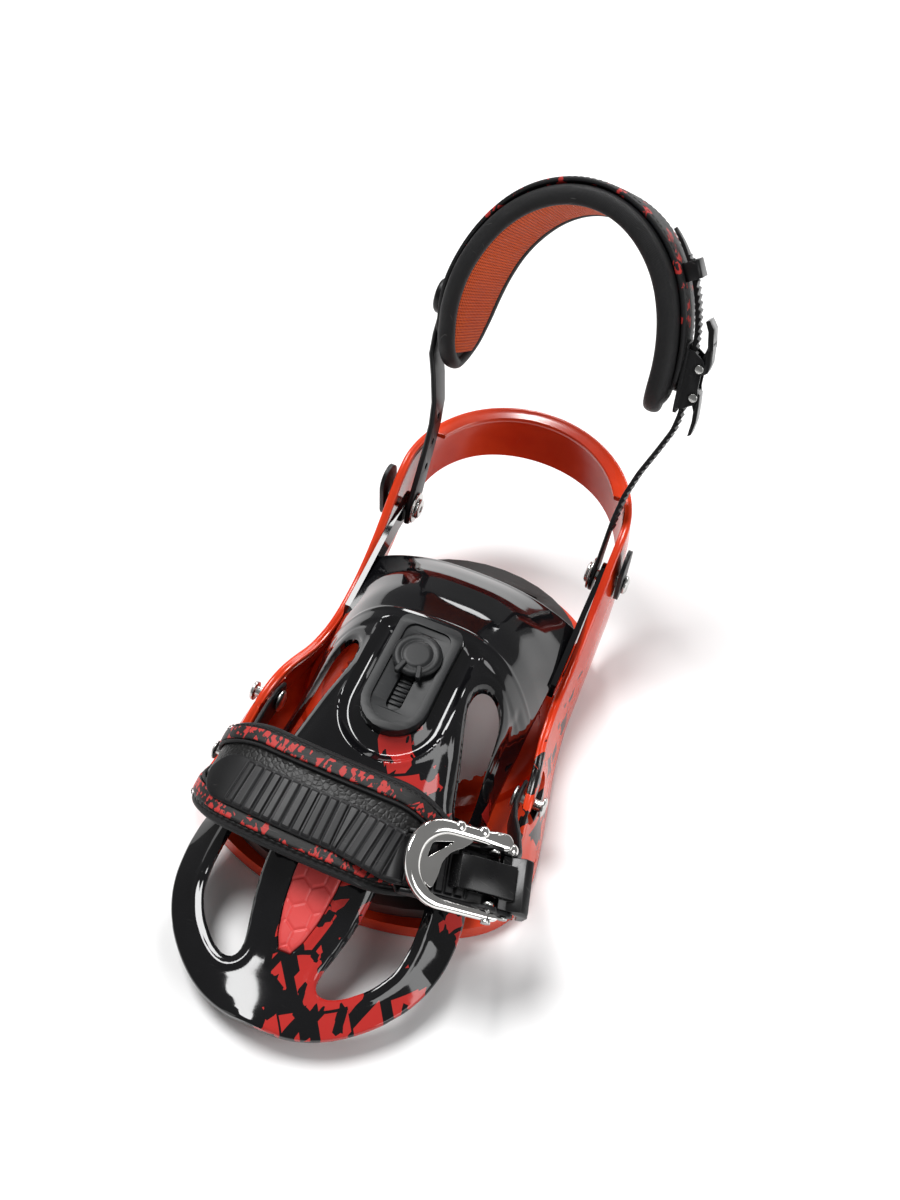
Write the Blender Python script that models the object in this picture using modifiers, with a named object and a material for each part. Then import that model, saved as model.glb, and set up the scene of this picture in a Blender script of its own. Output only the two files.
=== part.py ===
"""Snowboard strap binding, stored with its highback folded forward under the toe strap.

Lengths below are in millimetres in the binding's own axes: the disc hole is centred on X = 0, Y = 0,
the toe is at -Y, the heel at +Y, the outer (buckle) side at +X, and the floor at Z = 0.
"""

import math

import bmesh
import bpy
import numpy as np
from mathutils import Matrix, Vector

MM = 0.001
# Where the middle of the whole object's box lies in the binding's own axes.
BOX_X = 3.0
BOX_Y = -4.9

WALL = 3.6                    # thickness of the moulded side walls
FLOOR = 8.0                   # thickness of the base floor
RING_HEIGHT = 12.4            # top of the thick ring round the disc hole
DISC_RADIUS = 50.0
TOOTH_COUNT = 48
TOOTH_DEPTH = 1.6
SHELL = 3.4                   # thickness of the highback shell
PIVOT_Y = 86.0                # ankle strap and highback axis
PIVOT_Z = 54.0
BOLT_RADIUS = 3.0
BOLT_CLEARANCE = 0.3
GAP = 0.35                    # gap between touching pieces
TOE_PIVOT_Y = -49.0
TOE_PIVOT_Z = 31.0
ANKLE_LEAN = math.radians(25)

RED = (0.60, 0.045, 0.012)
BLACK = (0.012, 0.012, 0.013)
CHARCOAL = (0.035, 0.036, 0.038)


def clear_scene():
    for item in list(bpy.data.objects):
        bpy.data.objects.remove(item, do_unlink=True)


def to_world(points):
    """Binding millimetres to world metres."""
    points = np.asarray(points, float)
    return (points - np.array([BOX_X, BOX_Y, 0.0])) * MM


def material(name, colour, roughness, metallic=0.0):
    made = bpy.data.materials.get(name)
    if made is None:
        made = bpy.data.materials.new(name)
        made.use_nodes = True
        shader = made.node_tree.nodes["Principled BSDF"]
        shader.inputs["Base Color"].default_value = (*colour, 1.0)
        shader.inputs["Roughness"].default_value = roughness
        shader.inputs["Metallic"].default_value = metallic
    return made


def parts_collection():
    made = bpy.data.collections.new("snowboard_binding")
    bpy.context.scene.collection.children.link(made)
    return made


def cutters_collection():
    made = bpy.data.collections.new("cutters")
    made.hide_render = True
    bpy.context.scene.collection.children.link(made)
    return made


clear_scene()
PARTS = parts_collection()
CUTTERS = cutters_collection()

MATERIALS = {
    "nylon_red": material("nylon_red", RED, 0.25),
    "nylon_black": material("nylon_black", BLACK, 0.2),
    "plastic_charcoal": material("plastic_charcoal", CHARCOAL, 0.5),
    "rubber_dark": material("rubber_dark", (0.02, 0.018, 0.017), 0.8),
    "rubber_red": material("rubber_red", (0.55, 0.06, 0.05), 0.6),
    "strap_fabric": material("strap_fabric", (0.025, 0.025, 0.027), 0.85),
    "strap_plastic": material("strap_plastic", (0.02, 0.02, 0.021), 0.55),
    "steel": material("steel", (0.62, 0.62, 0.6), 0.3, 1.0),
    "chrome": material("chrome", (0.8, 0.79, 0.76), 0.12, 1.0),
}


def hide_cutter(item):
    item.hide_render = True
    item.display_type = "WIRE"


def new_object(name, points, faces, look=None, axis_at=None):
    """A mesh object from millimetre points, with its origin on axis_at where that is given."""
    mesh = bpy.data.meshes.new(name)
    world = to_world(points)
    origin = np.zeros(3) if axis_at is None else to_world(axis_at)
    mesh.from_pydata([tuple(p) for p in world - origin], [], [tuple(f) for f in faces])
    shell = bmesh.new()
    shell.from_mesh(mesh)
    bmesh.ops.remove_doubles(shell, verts=shell.verts, dist=1e-7)
    bmesh.ops.recalc_face_normals(shell, faces=shell.faces)
    shell.to_mesh(mesh)
    shell.free()
    mesh.validate()
    item = bpy.data.objects.new(name, mesh)
    item.location = origin
    if look is None:
        CUTTERS.objects.link(item)
        hide_cutter(item)
    else:
        PARTS.objects.link(item)
        mesh.materials.append(MATERIALS[look])
    return item


def smooth(item, degrees=35.0):
    for polygon in item.data.polygons:
        polygon.use_smooth = True
    item.data.set_sharp_from_angle(angle=math.radians(degrees))


def boolean(item, other, operation):
    step = item.modifiers.new(operation.lower() + "_" + other.name, "BOOLEAN")
    step.operation = operation
    step.solver = "EXACT"
    step.object = other


def cut(item, *cutters):
    for cutter in cutters:
        boolean(item, cutter, "DIFFERENCE")


def join(item, *others):
    for other in others:
        boolean(item, other, "UNION")


def bevel(item, width, segments=2, degrees=35.0):
    step = item.modifiers.new("edges", "BEVEL")
    step.width = width * MM
    step.segments = segments
    step.limit_method = "ANGLE"
    step.angle_limit = math.radians(degrees)
    step.use_clamp_overlap = True


def frame(origin, along, up):
    """A 4 by 4 matrix whose X runs along, whose Z is as near up as it can be."""
    along = Vector(along).normalized()
    up = Vector(up)
    up = (up - along * up.dot(along)).normalized()
    side = up.cross(along)
    made = Matrix((along, side, up)).transposed().to_4x4()
    made.translation = Vector(origin)
    return made


def mapped(points, where):
    rotation = np.array(where)[:3, :3]
    return np.asarray(points, float) @ rotation.T + np.array(where)[:3, 3]


WORLD = Matrix.Identity(4)


def prism(name, outline, low, high, look=None, where=WORLD, holes=(), axis_at=None):
    """A flat outline, with any holes, made thick from low to high: a filled 2D curve, extruded."""
    curve = bpy.data.curves.new(name, "CURVE")
    curve.dimensions = "2D"
    curve.fill_mode = "BOTH"
    curve.extrude = (high - low) / 2.0
    for ring in (outline, *holes):
        spline = curve.splines.new("POLY")
        spline.points.add(len(ring) - 1)
        spline.use_cyclic_u = True
        flat = np.column_stack([np.asarray(ring, float), np.zeros(len(ring)), np.ones(len(ring))])
        spline.points.foreach_set("co", flat.ravel())
    drawn = bpy.data.objects.new(name + "_curve", curve)
    CUTTERS.objects.link(drawn)
    hide_cutter(drawn)
    bpy.context.view_layer.update()
    mesh = bpy.data.meshes.new_from_object(drawn)
    bpy.data.objects.remove(drawn, do_unlink=True)
    points = np.empty(len(mesh.vertices) * 3)
    mesh.vertices.foreach_get("co", points)
    points = points.reshape(-1, 3) + np.array([0.0, 0.0, (high + low) / 2.0])
    faces = [tuple(face.vertices) for face in mesh.polygons]
    bpy.data.meshes.remove(mesh)
    return new_object(name, mapped(points, where), faces, look, axis_at)


def lathe(name, profile, look=None, where=WORLD, steps=24, axis_at=None):
    """A round piece: the profile, in (radius, height) pairs from top to bottom, turned about Z."""
    angles = np.linspace(0.0, 2.0 * math.pi, steps, endpoint=False)
    rings = []
    for radius, height in profile:
        rings.append(np.column_stack([radius * np.cos(angles), radius * np.sin(angles),
                                      np.full(steps, height)]))
    points = np.concatenate(rings)
    faces = []
    for row in range(len(profile) - 1):
        for step in range(steps):
            after = (step + 1) % steps
            faces.append((row * steps + step, (row + 1) * steps + step,
                          (row + 1) * steps + after, row * steps + after))
    faces.append(tuple(range(steps)))
    faces.append(tuple(range((len(profile) - 1) * steps, len(profile) * steps))[::-1])
    return new_object(name, mapped(points, where), faces, look, axis_at)


def rod(name, start, end, radius, look=None, steps=20, axis_at=None):
    start, end = Vector(start), Vector(end)
    length = (end - start).length
    turned = frame(start, (end - start).orthogonal(), end - start)
    return lathe(name, [(radius, length), (radius, 0.0)], look, turned, steps, axis_at)


def rounded(half_x, half_y, radius, steps=5):
    """The outline of a rectangle with round corners, counter-clockwise about its middle."""
    corners = ((1, 1, 0.0), (-1, 1, 90.0), (-1, -1, 180.0), (1, -1, 270.0))
    outline = []
    for sign_x, sign_y, start in corners:
        turn = np.radians(np.linspace(start, start + 90.0, steps))
        outline.append(np.column_stack([sign_x * (half_x - radius) + radius * np.cos(turn),
                                        sign_y * (half_y - radius) + radius * np.sin(turn)]))
    return np.concatenate(outline)


def circle(radius, steps=24, centre=(0.0, 0.0)):
    turn = np.linspace(0.0, 2.0 * math.pi, steps, endpoint=False)
    return np.column_stack([centre[0] + radius * np.cos(turn), centre[1] + radius * np.sin(turn)])


def loft(name, rings, look=None, closed=False, axis_at=None):
    """A skin over a row of section loops with equal numbers of points, with its ends capped."""
    rings = np.asarray(rings, float)
    count, around = rings.shape[:2]
    faces = []
    for row in range(count if closed else count - 1):
        after = (row + 1) % count
        for step in range(around):
            beside = (step + 1) % around
            faces.append((row * around + step, after * around + step,
                          after * around + beside, row * around + beside))
    if not closed:
        faces.append(tuple(range(around)))
        faces.append(tuple(range((count - 1) * around, count * around))[::-1])
    return new_object(name, rings.reshape(-1, 3), faces, look, axis_at)


def directions(path):
    """Unit tangents of a path."""
    steps = np.gradient(path, axis=0)
    return steps / np.linalg.norm(steps, axis=1)[:, None]


def ribbon(name, path, side, half_width, thickness, look, corner=0.35, axis_at=None):
    """A band along a path: side is the direction of its width, and it grows outwards by thickness."""
    path = np.asarray(path, float)
    tangent = directions(path)
    side = np.broadcast_to(np.asarray(side, float), path.shape).copy()
    side -= tangent * (side * tangent).sum(1)[:, None]
    side /= np.linalg.norm(side, axis=1)[:, None]
    out = np.cross(tangent, side)
    half = np.broadcast_to(np.asarray(half_width, float), len(path))
    thick = np.broadcast_to(np.asarray(thickness, float), len(path))
    edge = min(corner, 0.45)
    section = np.array([(-1, edge), (-1, 1 - edge), (-1, 1), (1, 1),
                        (1, 1 - edge), (1, edge), (1, 0), (-1, 0)])
    inset = np.array([0, 0, 1, 1, 0, 0, 1, 1]) * edge
    rings = []
    for middle, across, up, width, tall in zip(path, side, out, half, thick):
        shrink = width - inset * tall
        rings.append(middle + across * (np.sign(section[:, :1]) * shrink[:, None])
                     + up * (section[:, 1:] * tall))
    return loft(name, rings, look, axis_at=axis_at)


def along_table(value, pairs):
    """Straight-line reading of a short list of (position, size) pairs."""
    pairs = np.asarray(sorted(pairs), float)
    return np.interp(value, pairs[:, 0], pairs[:, 1])


# ---------------------------------------------------------------- base tray

RAIL_TOP_X = [(-92, 77), (-80, 75), (-62, 72), (-45, 69.5), (-28, 67), (-13, 64.5), (10, 62.6), (60, 62.2),
              (90, 62.5)]
RAIL_LOW_X = [(-92, 80), (-80, 83), (-62, 82), (-45, 79), (-28, 75.5), (-13, 72.5), (0, 70), (25, 67), (60, 66),
              (90, 65.5)]
RAIL_TOP_Z = [(-92, 9), (-84, 15), (-75, 21.5), (-62, 32), (-50, 39), (-38, 41), (-26, 38.5), (-10, 33.5),
              (5, 32.5), (20, 34.5), (35, 39), (48, 46.5), (60, 56), (70, 66), (78, 74), (85, 79), (92, 82)]
LOW_Z = [(-92, 0), (25, 0), (45, 3), (60, 7), (75, 12), (88, 18), (96, 26), (104, 37), (112, 46), (120, 52),
         (130, 56.5), (140, 60), (152, 62)]
HOOP_Y = 90.0
HOOP_TOP_WIDE, HOOP_TOP_LONG = 62.5, 59.0
HOOP_LOW_WIDE, HOOP_LOW_LONG = 65.5, 60.5


def tray_stations():
    """Where the side wall stands: its outer top and low edges, from the right toe round to the left toe."""
    rail = np.array([-92, -86, -78, -70, -62, -54, -46, -38, -30, -20, -8, 5, 20, 35, 47, 58, 68, 77, 84.5])
    top = [(along_table(y, RAIL_TOP_X), y, along_table(y, RAIL_TOP_Z)) for y in rail]
    low = [(along_table(y, RAIL_LOW_X), y, along_table(y, LOW_Z)) for y in rail]
    turn = np.radians(np.linspace(0.0, 180.0, 27))
    hoop_top_y = HOOP_Y + HOOP_TOP_LONG * np.sin(turn)
    hoop_low_y = HOOP_Y + HOOP_LOW_LONG * np.sin(turn)
    hoop_top = np.column_stack([HOOP_TOP_WIDE * np.cos(turn), hoop_top_y, 82.0 + 13.0 * np.sin(turn)])
    hoop_low = np.column_stack([HOOP_LOW_WIDE * np.cos(turn), hoop_low_y, along_table(hoop_low_y, LOW_Z)])
    mirror = np.array([-1.0, 1.0, 1.0])
    top = np.concatenate([top, hoop_top, np.array(top)[::-1] * mirror])
    low = np.concatenate([low, hoop_low, np.array(low)[::-1] * mirror])
    return top, low


def inward(edge):
    """Unit plan normals of a U-shaped edge, pointing into the U."""
    step = np.gradient(edge[:, :2], axis=0)
    normal = np.column_stack([-step[:, 1], step[:, 0], np.zeros(len(edge))])
    return normal / np.linalg.norm(normal, axis=1)[:, None]


def side_wall():
    top, low = tray_stations()
    top_in, low_in = inward(top), inward(low)
    # The rim is a narrow bead on the rails and a wide flange on the hoop, from where its notch ends.
    rim = np.clip((top[:, 1] - 114.0) / 3.0, 0.0, 1.0) * 5.2 + WALL + 0.9
    up = np.array([0.0, 0.0, 1.0])
    rings = []
    for t, b, tn, bn, wide in zip(top, low, top_in, low_in, rim):
        middle = (t * 0.45 + b * 0.55) - 0.8 * tn
        tall = max(t[2] - b[2], 1.0)
        lip = min(3.2, tall * 0.3)
        rings.append([b,
                      middle,
                      t - up * 1.4,
                      t + tn * 1.4,
                      t + tn * (wide - 1.0) - up * 0.1,
                      t + tn * wide - up * 1.0,
                      t + tn * wide - up * lip,
                      t + tn * WALL - up * (lip + 0.5),
                      middle + tn * WALL,
                      b + bn * WALL])
    return rings


def base_outline():
    """The floor seen from above: round toe and heel edges, sides that follow the walls."""
    sides = np.array([-80, -62, -45, -28, -13, 0, 25, 45, 62])
    right = np.array([(along_table(y, RAIL_LOW_X) - 1.6, y) for y in sides])
    toe = np.radians(np.linspace(-180.0, 0.0, 21))
    front = np.column_stack([81.0 * np.cos(toe), -84.0 + 42.0 * np.sin(toe)])
    heel = np.radians(np.linspace(0.0, 180.0, 21))
    back = np.column_stack([64.4 * np.cos(heel), 64.0 + 44.0 * np.sin(heel)])
    left = right[::-1] * np.array([-1.0, 1.0])
    return np.concatenate([front, right, back, left])


def toothed_hole():
    turn = np.linspace(0.0, 2.0 * math.pi, TOOTH_COUNT * 2, endpoint=False)
    radius = DISC_RADIUS - TOOTH_DEPTH * (np.arange(TOOTH_COUNT * 2) % 2)
    return np.column_stack([radius * np.cos(turn), radius * np.sin(turn)])


def slot_outline(length, width, steps=7):
    return rounded(length / 2.0, width / 2.0, width / 2.0 - 0.01, steps)


def make_base():
    tray = loft("base_tray", side_wall(), "nylon_red")
    floor = prism("floor_block", base_outline(), 0.0, FLOOR)
    ring = lathe("ring_block", [(60.0, RING_HEIGHT), (64.0, RING_HEIGHT - 1.2), (69.0, 0.4)], steps=36)
    hole = prism("disc_hole", toothed_hole(), -5.0, 30.0)
    seat = lathe("disc_seat", [(56.0, 30.0), (56.0, RING_HEIGHT - 2.6)], steps=36)
    join(tray, floor, ring)
    cut(tray, seat, hole)
    for side in (1, -1):
        tag = "right" if side > 0 else "left"
        slot = frame((side * 68.0, TOE_PIVOT_Y + 4.0, TOE_PIVOT_Z), (0, 1, 0), (side, 0, 0))
        cut(tray, prism("toe_slot_" + tag, slot_outline(30.0, 7.0), -12.0, 12.0, where=slot))
        bore = rod("ankle_bore_" + tag, (side * 40, PIVOT_Y, PIVOT_Z), (side * 75, PIVOT_Y, PIVOT_Z),
                   BOLT_RADIUS + BOLT_CLEARANCE)
        cut(tray, bore)
        # Lightening pockets under the floor, ahead of the disc hole and behind it.
        for place, (x, y) in {"toe": (30, -88), "heel": (32, 74)}.items():
            pocket = frame((side * x, y, 0), (1, 0, 0), (0, 0, 1))
            cut(tray, prism("pocket_" + place + "_" + tag, rounded(17, 8.5, 4), -2.0, 4.5, where=pocket))
    smooth(tray)
    toe = np.radians(np.linspace(-172.0, -8.0, 17))
    front = np.column_stack([69.0 * np.cos(toe), -86.0 + 36.5 * np.sin(toe)])
    ramp_outline = np.concatenate([front, [(66, -74), (60, -66), (40, -62), (-40, -62), (-60, -66), (-66, -74)]])
    ramp = prism("toe_ramp", ramp_outline, FLOOR + GAP, 15.5, "rubber_dark")
    cut(ramp, lathe("ramp_relief", [(70.0, 30.0), (70.0, 2.0)], steps=40))
    for row in range(3):
        where = frame((0, -84 - 10.0 * row, 0), (1, 0, 0), (0, 0, 1))
        cut(ramp, prism("ramp_groove_%d" % row, rounded(40 - 5 * row, 1.6, 1.5, 3), 14.3, 20.0, where=where))
    bevel(ramp, 1.2, 1)
    heel = np.radians(np.linspace(0.0, 180.0, 17))
    back = np.column_stack([56.5 * np.cos(heel), 63.0 + 43.6 * np.sin(heel)])
    pad_outline = np.concatenate([back, [(-56.5, 52), (-48, 50.6), (48, 50.6), (56.5, 52)]])
    pad = prism("heel_pad", pad_outline, FLOOR + GAP, 12.6, "rubber_dark")
    cut(pad, lathe("pad_relief", [(69.6, 30.0), (69.6, 2.0)], steps=40))
    for row in range(3):
        where = frame((0, 78 + 8.0 * row, 0), (1, 0, 0), (0, 0, 1))
        cut(pad, prism("pad_groove_%d" % row, rounded(38 - 7 * row, 1.4, 1.3, 3), 11.5, 20.0, where=where))
    bevel(pad, 0.8, 1)


# ---------------------------------------------------------------- highback

SHELL_MIDDLE = [(-194, 18), (-180, 21), (-165, 25), (-150, 32), (-140, 38), (-120, 48.5), (-100, 58.5),
                (-80, 68.5), (-60, 77), (-37, 82.5), (-15, 84.5), (5, 82.5), (25, 76.5), (40, 68), (50, 61)]
SHELL_EDGE = [(-194, 14), (-180, 15), (-165, 16), (-140, 17), (-120, 20), (-100, 22), (-80, 24.5), (-60, 27),
              (-37, 30), (-15, 33.5), (5, 37), (25, 42), (50, 47)]
SHELL_WIDE = [(-193.5, 12), (-192.6, 17), (-190.5, 24), (-187, 31), (-180, 40.5), (-172, 48.8), (-165, 54.5),
              (-155, 60), (-145, 63.5), (-132, 65.2), (-120, 65), (-108, 63.2), (-96, 60.5), (-82, 57.4),
              (-68, 55.2), (-55, 54.4), (-28, 54.8), (0, 56), (20, 56.2), (50, 55.8)]
SHELL_CURVE = [(-190, 2.0), (-140, 2.2), (-100, 2.6), (-60, 3.2), (0, 3.4), (50, 2.4)]
CREASE_Y = -15.0


def shell_top(x, y):
    """Height of the highback's outer face over the plan, as it lies folded forward."""
    x, y = np.asarray(x, float), np.asarray(y, float)
    middle = along_table(y, SHELL_MIDDLE)
    edge = along_table(y, SHELL_EDGE)
    wide = along_table(y, SHELL_WIDE)
    power = along_table(y, SHELL_CURVE)
    height = middle - (middle - edge) * np.minimum(1.0, np.abs(x / wide)) ** power
    # The face steps down a little past the smooth band beside the hinge.
    step = np.clip((CREASE_Y - 1.5 - y - 6.0 * (np.abs(x) / 54.0) ** 2) / 3.0, 0.0, 1.0)
    return height - 1.1 * step


def shell_grid(across=21):
    rows = np.array([50, 40, 27, 13, -1, -12, -16, -19.5, -30, -44, -58, -72, -86, -100, -112, -124, -136, -147, -157,
                     -166, -174, -181, -186.5, -190.5, -192.6, -193.5])
    share = np.sin(np.linspace(-1.0, 1.0, across) * math.pi / 2.0)
    wide = along_table(rows, SHELL_WIDE)
    x = wide[:, None] * share[None, :]
    y = np.broadcast_to(rows[:, None], x.shape)
    return np.stack([x, y, shell_top(x, y)], axis=2)


def grid_normals(grid):
    along = np.gradient(grid, axis=0)
    across = np.gradient(grid, axis=1)
    normal = np.cross(along, across)
    normal /= np.linalg.norm(normal, axis=2)[:, :, None]
    return normal * np.where(normal[:, :, 2:] < 0, -1.0, 1.0)


def two_skins(name, outer, inner, look=None, axis_at=None):
    """A closed solid between two grids of the same size."""
    rows, columns = outer.shape[:2]
    points = np.concatenate([outer.reshape(-1, 3), inner.reshape(-1, 3)])
    count = rows * columns
    at = np.arange(count).reshape(rows, columns)
    faces = []
    for r in range(rows - 1):
        for c in range(columns - 1):
            quad = (at[r, c], at[r, c + 1], at[r + 1, c + 1], at[r + 1, c])
            faces.append(quad)
            faces.append(tuple(v + count for v in quad[::-1]))
    border = ([at[0, c] for c in range(columns)] + [at[r, -1] for r in range(1, rows)]
              + [at[-1, c] for c in range(columns - 2, -1, -1)] + [at[r, 0] for r in range(rows - 2, 0, -1)])
    for here, after in zip(border, border[1:] + border[:1]):
        faces.append((here, here + count, after + count, after))
    return new_object(name, points, [tuple(int(v) for v in f) for f in faces], look, axis_at)


def on_shell(outline, lift=0.0):
    outline = np.asarray(outline, float)
    return np.column_stack([outline, shell_top(outline[:, 0], outline[:, 1]) + lift])


UPPER_OPENING = [(33.5, -27), (38, -25.5), (42, -28), (44, -34), (45.2, -44), (46.3, -56), (47.6, -68),
                 (48.4, -79), (46.6, -85), (43.4, -86), (40.8, -80), (38, -70), (34.6, -60), (31, -50),
                 (28.6, -41), (29.4, -32.5)]
TIP_OPENING = [(30, -107), (39, -106), (44.5, -113), (46.8, -124), (47.6, -138), (46, -150), (39.5, -161),
               (30.5, -169.5), (23, -173.6), (18.3, -172.6), (17.2, -166.5), (20.5, -155), (23.4, -144),
               (25, -131), (25.4, -118), (26.4, -110.5)]


def arm_outline():
    """One hinge arm seen from the side, as (Y, Z): a round eye on the axis and a tongue under the shell's edge."""
    eye = np.radians(np.linspace(-70.0, 130.0, 13))
    ring = np.column_stack([PIVOT_Y + 7.5 * np.cos(eye), PIVOT_Z + 7.5 * np.sin(eye)])
    tongue = [(62, 56), (50, 52.5), (34, 47.5), (14, 42), (12, 35), (34, 37), (52, 40), (70, 44.5)]
    return np.concatenate([ring, tongue])


def make_highback():
    axis = (0, PIVOT_Y, PIVOT_Z)
    outer = shell_grid()
    inner = outer - grid_normals(outer) * SHELL
    shell = two_skins("highback_shell", outer, inner, "nylon_black", axis_at=axis)
    for side in (1, -1):
        tag = "right" if side > 0 else "left"
        flat = frame((side * 56.0, 0, 0), (0, 1, 0), (side, 0, 0))
        outline = arm_outline()
        if side < 0:
            outline = outline * np.array([1.0, -1.0])
        arm = prism("arm_" + tag, outline, -1.3, 1.5, where=flat)
        join(shell, arm)
        bore = rod("arm_bore_" + tag, (side * 40, PIVOT_Y, PIVOT_Z), (side * 75, PIVOT_Y, PIVOT_Z),
                   BOLT_RADIUS + BOLT_CLEARANCE)
        cut(shell, bore)
        for label, ring in (("upper", UPPER_OPENING), ("tip", TIP_OPENING)):
            hole = np.array(ring) * np.array([side, 1.0])
            cut(shell, prism(label + "_opening_" + tag, hole, -20.0, 120.0))
    smooth(shell, 40)


# ---------------------------------------------------------------- lean adjuster on the highback

PLATE_AT = (0.0, -44.0)
PLATE_TILT = math.radians(11.0)


def plate_frame(lift=0.0):
    """The adjuster's own axes: X across, Y towards the hinge, Z out of the shell."""
    x, y = PLATE_AT
    up = Vector((0.0, -math.sin(PLATE_TILT), math.cos(PLATE_TILT)))
    origin = Vector((x, y, float(shell_top(x, y)))) + up * lift
    return frame(origin, (1, 0, 0), up)


def d_outline(wide, top, bottom, steps=13):
    """Straight sides, a square end towards the hinge, a half-round end towards the tip."""
    turn = np.radians(np.linspace(180.0, 360.0, steps))
    low = np.column_stack([wide * np.cos(turn), bottom + wide + wide * np.sin(turn)])
    corner = np.radians(np.linspace(0.0, 90.0, 5))
    right = np.column_stack([wide - 5 + 5 * np.cos(corner), top - 5 + 5 * np.sin(corner)])
    left = right[::-1] * np.array([-1.0, 1.0])
    return np.concatenate([low, right, left])


def make_adjuster():
    plate = prism("lean_plate", d_outline(15.5, 29.0, -31.0), -3.5, 2.6, "plastic_charcoal", plate_frame())
    step_cut = prism("plate_step", d_outline(11.2, 25.0, -26.5), 1.4, 8.0, where=plate_frame())
    slot = prism("plate_slot", slot_outline(42.0, 7.2), -2.2, 8.0,
                 where=plate_frame() @ Matrix.Translation((0, 0.5, 0)) @ Matrix.Rotation(math.pi / 2, 4, "Z"))
    cut(plate, step_cut, slot)
    bevel(plate, 0.5, 1)
    smooth(plate)
    shell = bpy.data.objects["highback_shell"]
    seat = prism("plate_seat", d_outline(15.5 + GAP, 29.0 + GAP, -31.0 - GAP), -3.5 - GAP, 20.0, where=plate_frame())
    cut(shell, seat)
    teeth = prism("lean_rack", rounded(2.85, 20.2, 1.0, 3), -1.8, -1.0, "plastic_charcoal",
                  plate_frame() @ Matrix.Translation((0, 0.5, 0)))
    for row in range(10):
        notch = plate_frame() @ Matrix.Translation((0, -16.0 + row * 2.4, 0))
        join(teeth, prism("rack_tooth_%d" % row, rounded(2.9, 0.6, 0.2, 2), -1.3, 0.1, where=notch))
    at = plate_frame()
    knob_y = 8.5
    middle = at @ Vector((0, knob_y, 2.0))
    foot = lathe("lean_slider", [(3.1, 3.0), (3.1, 0.35)], "plastic_charcoal",
                 at @ Matrix.Translation((0, knob_y, 0)), 16, axis_at=tuple(middle))
    knob = lathe("lean_knob", [(8.6, 6.1), (10.6, 5.5), (11.4, 4.4), (11.4, 3.35)], "plastic_charcoal",
                 at @ Matrix.Translation((0, knob_y, 0)), 28, axis_at=tuple(middle))
    for side in (1, -1):
        prong = at @ Matrix.Translation((side * 4.4, knob_y - 8.4, 0)) @ Matrix.Rotation(side * 0.28, 4, "Z")
        join(knob, prism("prong_%d" % side, rounded(1.1, 2.6, 0.8, 4), 4.2, 7.2, where=prong))
    smooth(knob)
    smooth(foot)
    rows, columns = 12, 7
    y = np.linspace(-163.0, -112.0, rows)
    wide = along_table(y, [(-163, 2.6), (-158, 5.6), (-148, 8.4), (-136, 10), (-124, 10.2), (-112, 9.4)])
    x = wide[:, None] * np.linspace(-1, 1, columns)[None, :]
    yy = np.broadcast_to(y[:, None], x.shape)
    base = np.stack([x, yy, shell_top(x, yy)], axis=2)
    crown = 1.5 * (1.0 - (x / (wide[:, None] + 1.0)) ** 4)
    outer = base + np.array([0, 0, 1.0]) * crown[:, :, None]
    inner = base - np.array([0, 0, 1.4])
    two_skins("hex_insert", outer, inner, "rubber_red", axis_at=(0, PIVOT_Y, PIVOT_Z))
    grow = 1.0 + 0.5 / np.maximum(wide[:, None], 3.0)
    pocket_outer = base + np.array([0, 0, 6.0])
    pocket_inner = base - np.array([0, 0, 1.4 + GAP])
    for grid in (pocket_outer, pocket_inner):
        grid[:, :, 0] *= grow
        grid[0, :, 1] -= 0.5
        grid[-1, :, 1] += 0.5
    cut(shell, two_skins("insert_pocket", pocket_outer, pocket_inner))


# ---------------------------------------------------------------- ankle strap

LEAN_UP = np.array([0.0, math.sin(ANKLE_LEAN), math.cos(ANKLE_LEAN)])
LEAN_TOE = np.array([0.0, -math.cos(ANKLE_LEAN), math.sin(ANKLE_LEAN)])
ANKLE_AXIS = np.array([0.0, PIVOT_Y, PIVOT_Z])
PAD_HALF_X = 48.5             # inner half width of the ankle arch
PAD_SHOULDER = 106.0          # where the arch springs from its straight sides
PAD_RISE = 68.0
PAD_THICK = 10.5
COVER_THICK = 1.6
LADDER_OFFSET = 15.2          # underside of the ladder, out from the pad's inner face
HOLE_PLACES = (24.0, 38.0, 52.0)


def ankle_point(x, s, n=0.0):
    """x across, s up the leaning strap from its axis, n towards the toe."""
    x, s, n = np.broadcast_arrays(np.asarray(x, float), s, n)
    flat = np.zeros(x.shape + (3,))
    flat[..., 0] = x
    return flat + ANKLE_AXIS + s[..., None] * LEAN_UP + n[..., None] * LEAN_TOE


def arch(offset, turn):
    """(x, s) of the ankle arch, moved outwards by offset; turn is -90 degrees on the left, 90 on the right."""
    turn = np.radians(turn)
    across = (PAD_HALF_X + offset) * np.sin(turn)
    up = PAD_SHOULDER + (PAD_RISE + offset) * np.maximum(np.cos(turn), 0.0) ** 0.94
    return np.column_stack([across, up])


def arch_path(offset, left_low, right_low, steps=19):
    """The whole arch with its straight sides, which end at the two given heights."""
    across = PAD_HALF_X + offset
    left = np.linspace(left_low, PAD_SHOULDER, 4)[:-1]
    right = np.linspace(PAD_SHOULDER, right_low, 4)[1:]
    return np.concatenate([np.column_stack([np.full(3, -across), left]),
                           arch(offset, np.linspace(-90.0, 90.0, steps)),
                           np.column_stack([np.full(3, across), right])])


def evenly(path, spacing):
    """The same path with evenly spaced points, and how far along it each one is."""
    gone = np.concatenate([[0.0], np.cumsum(np.linalg.norm(np.diff(path, axis=0), axis=1))])
    fine = np.arange(0.0, gone[-1], spacing)
    return np.column_stack([np.interp(fine, gone, path[:, k]) for k in range(3)]), fine


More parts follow.
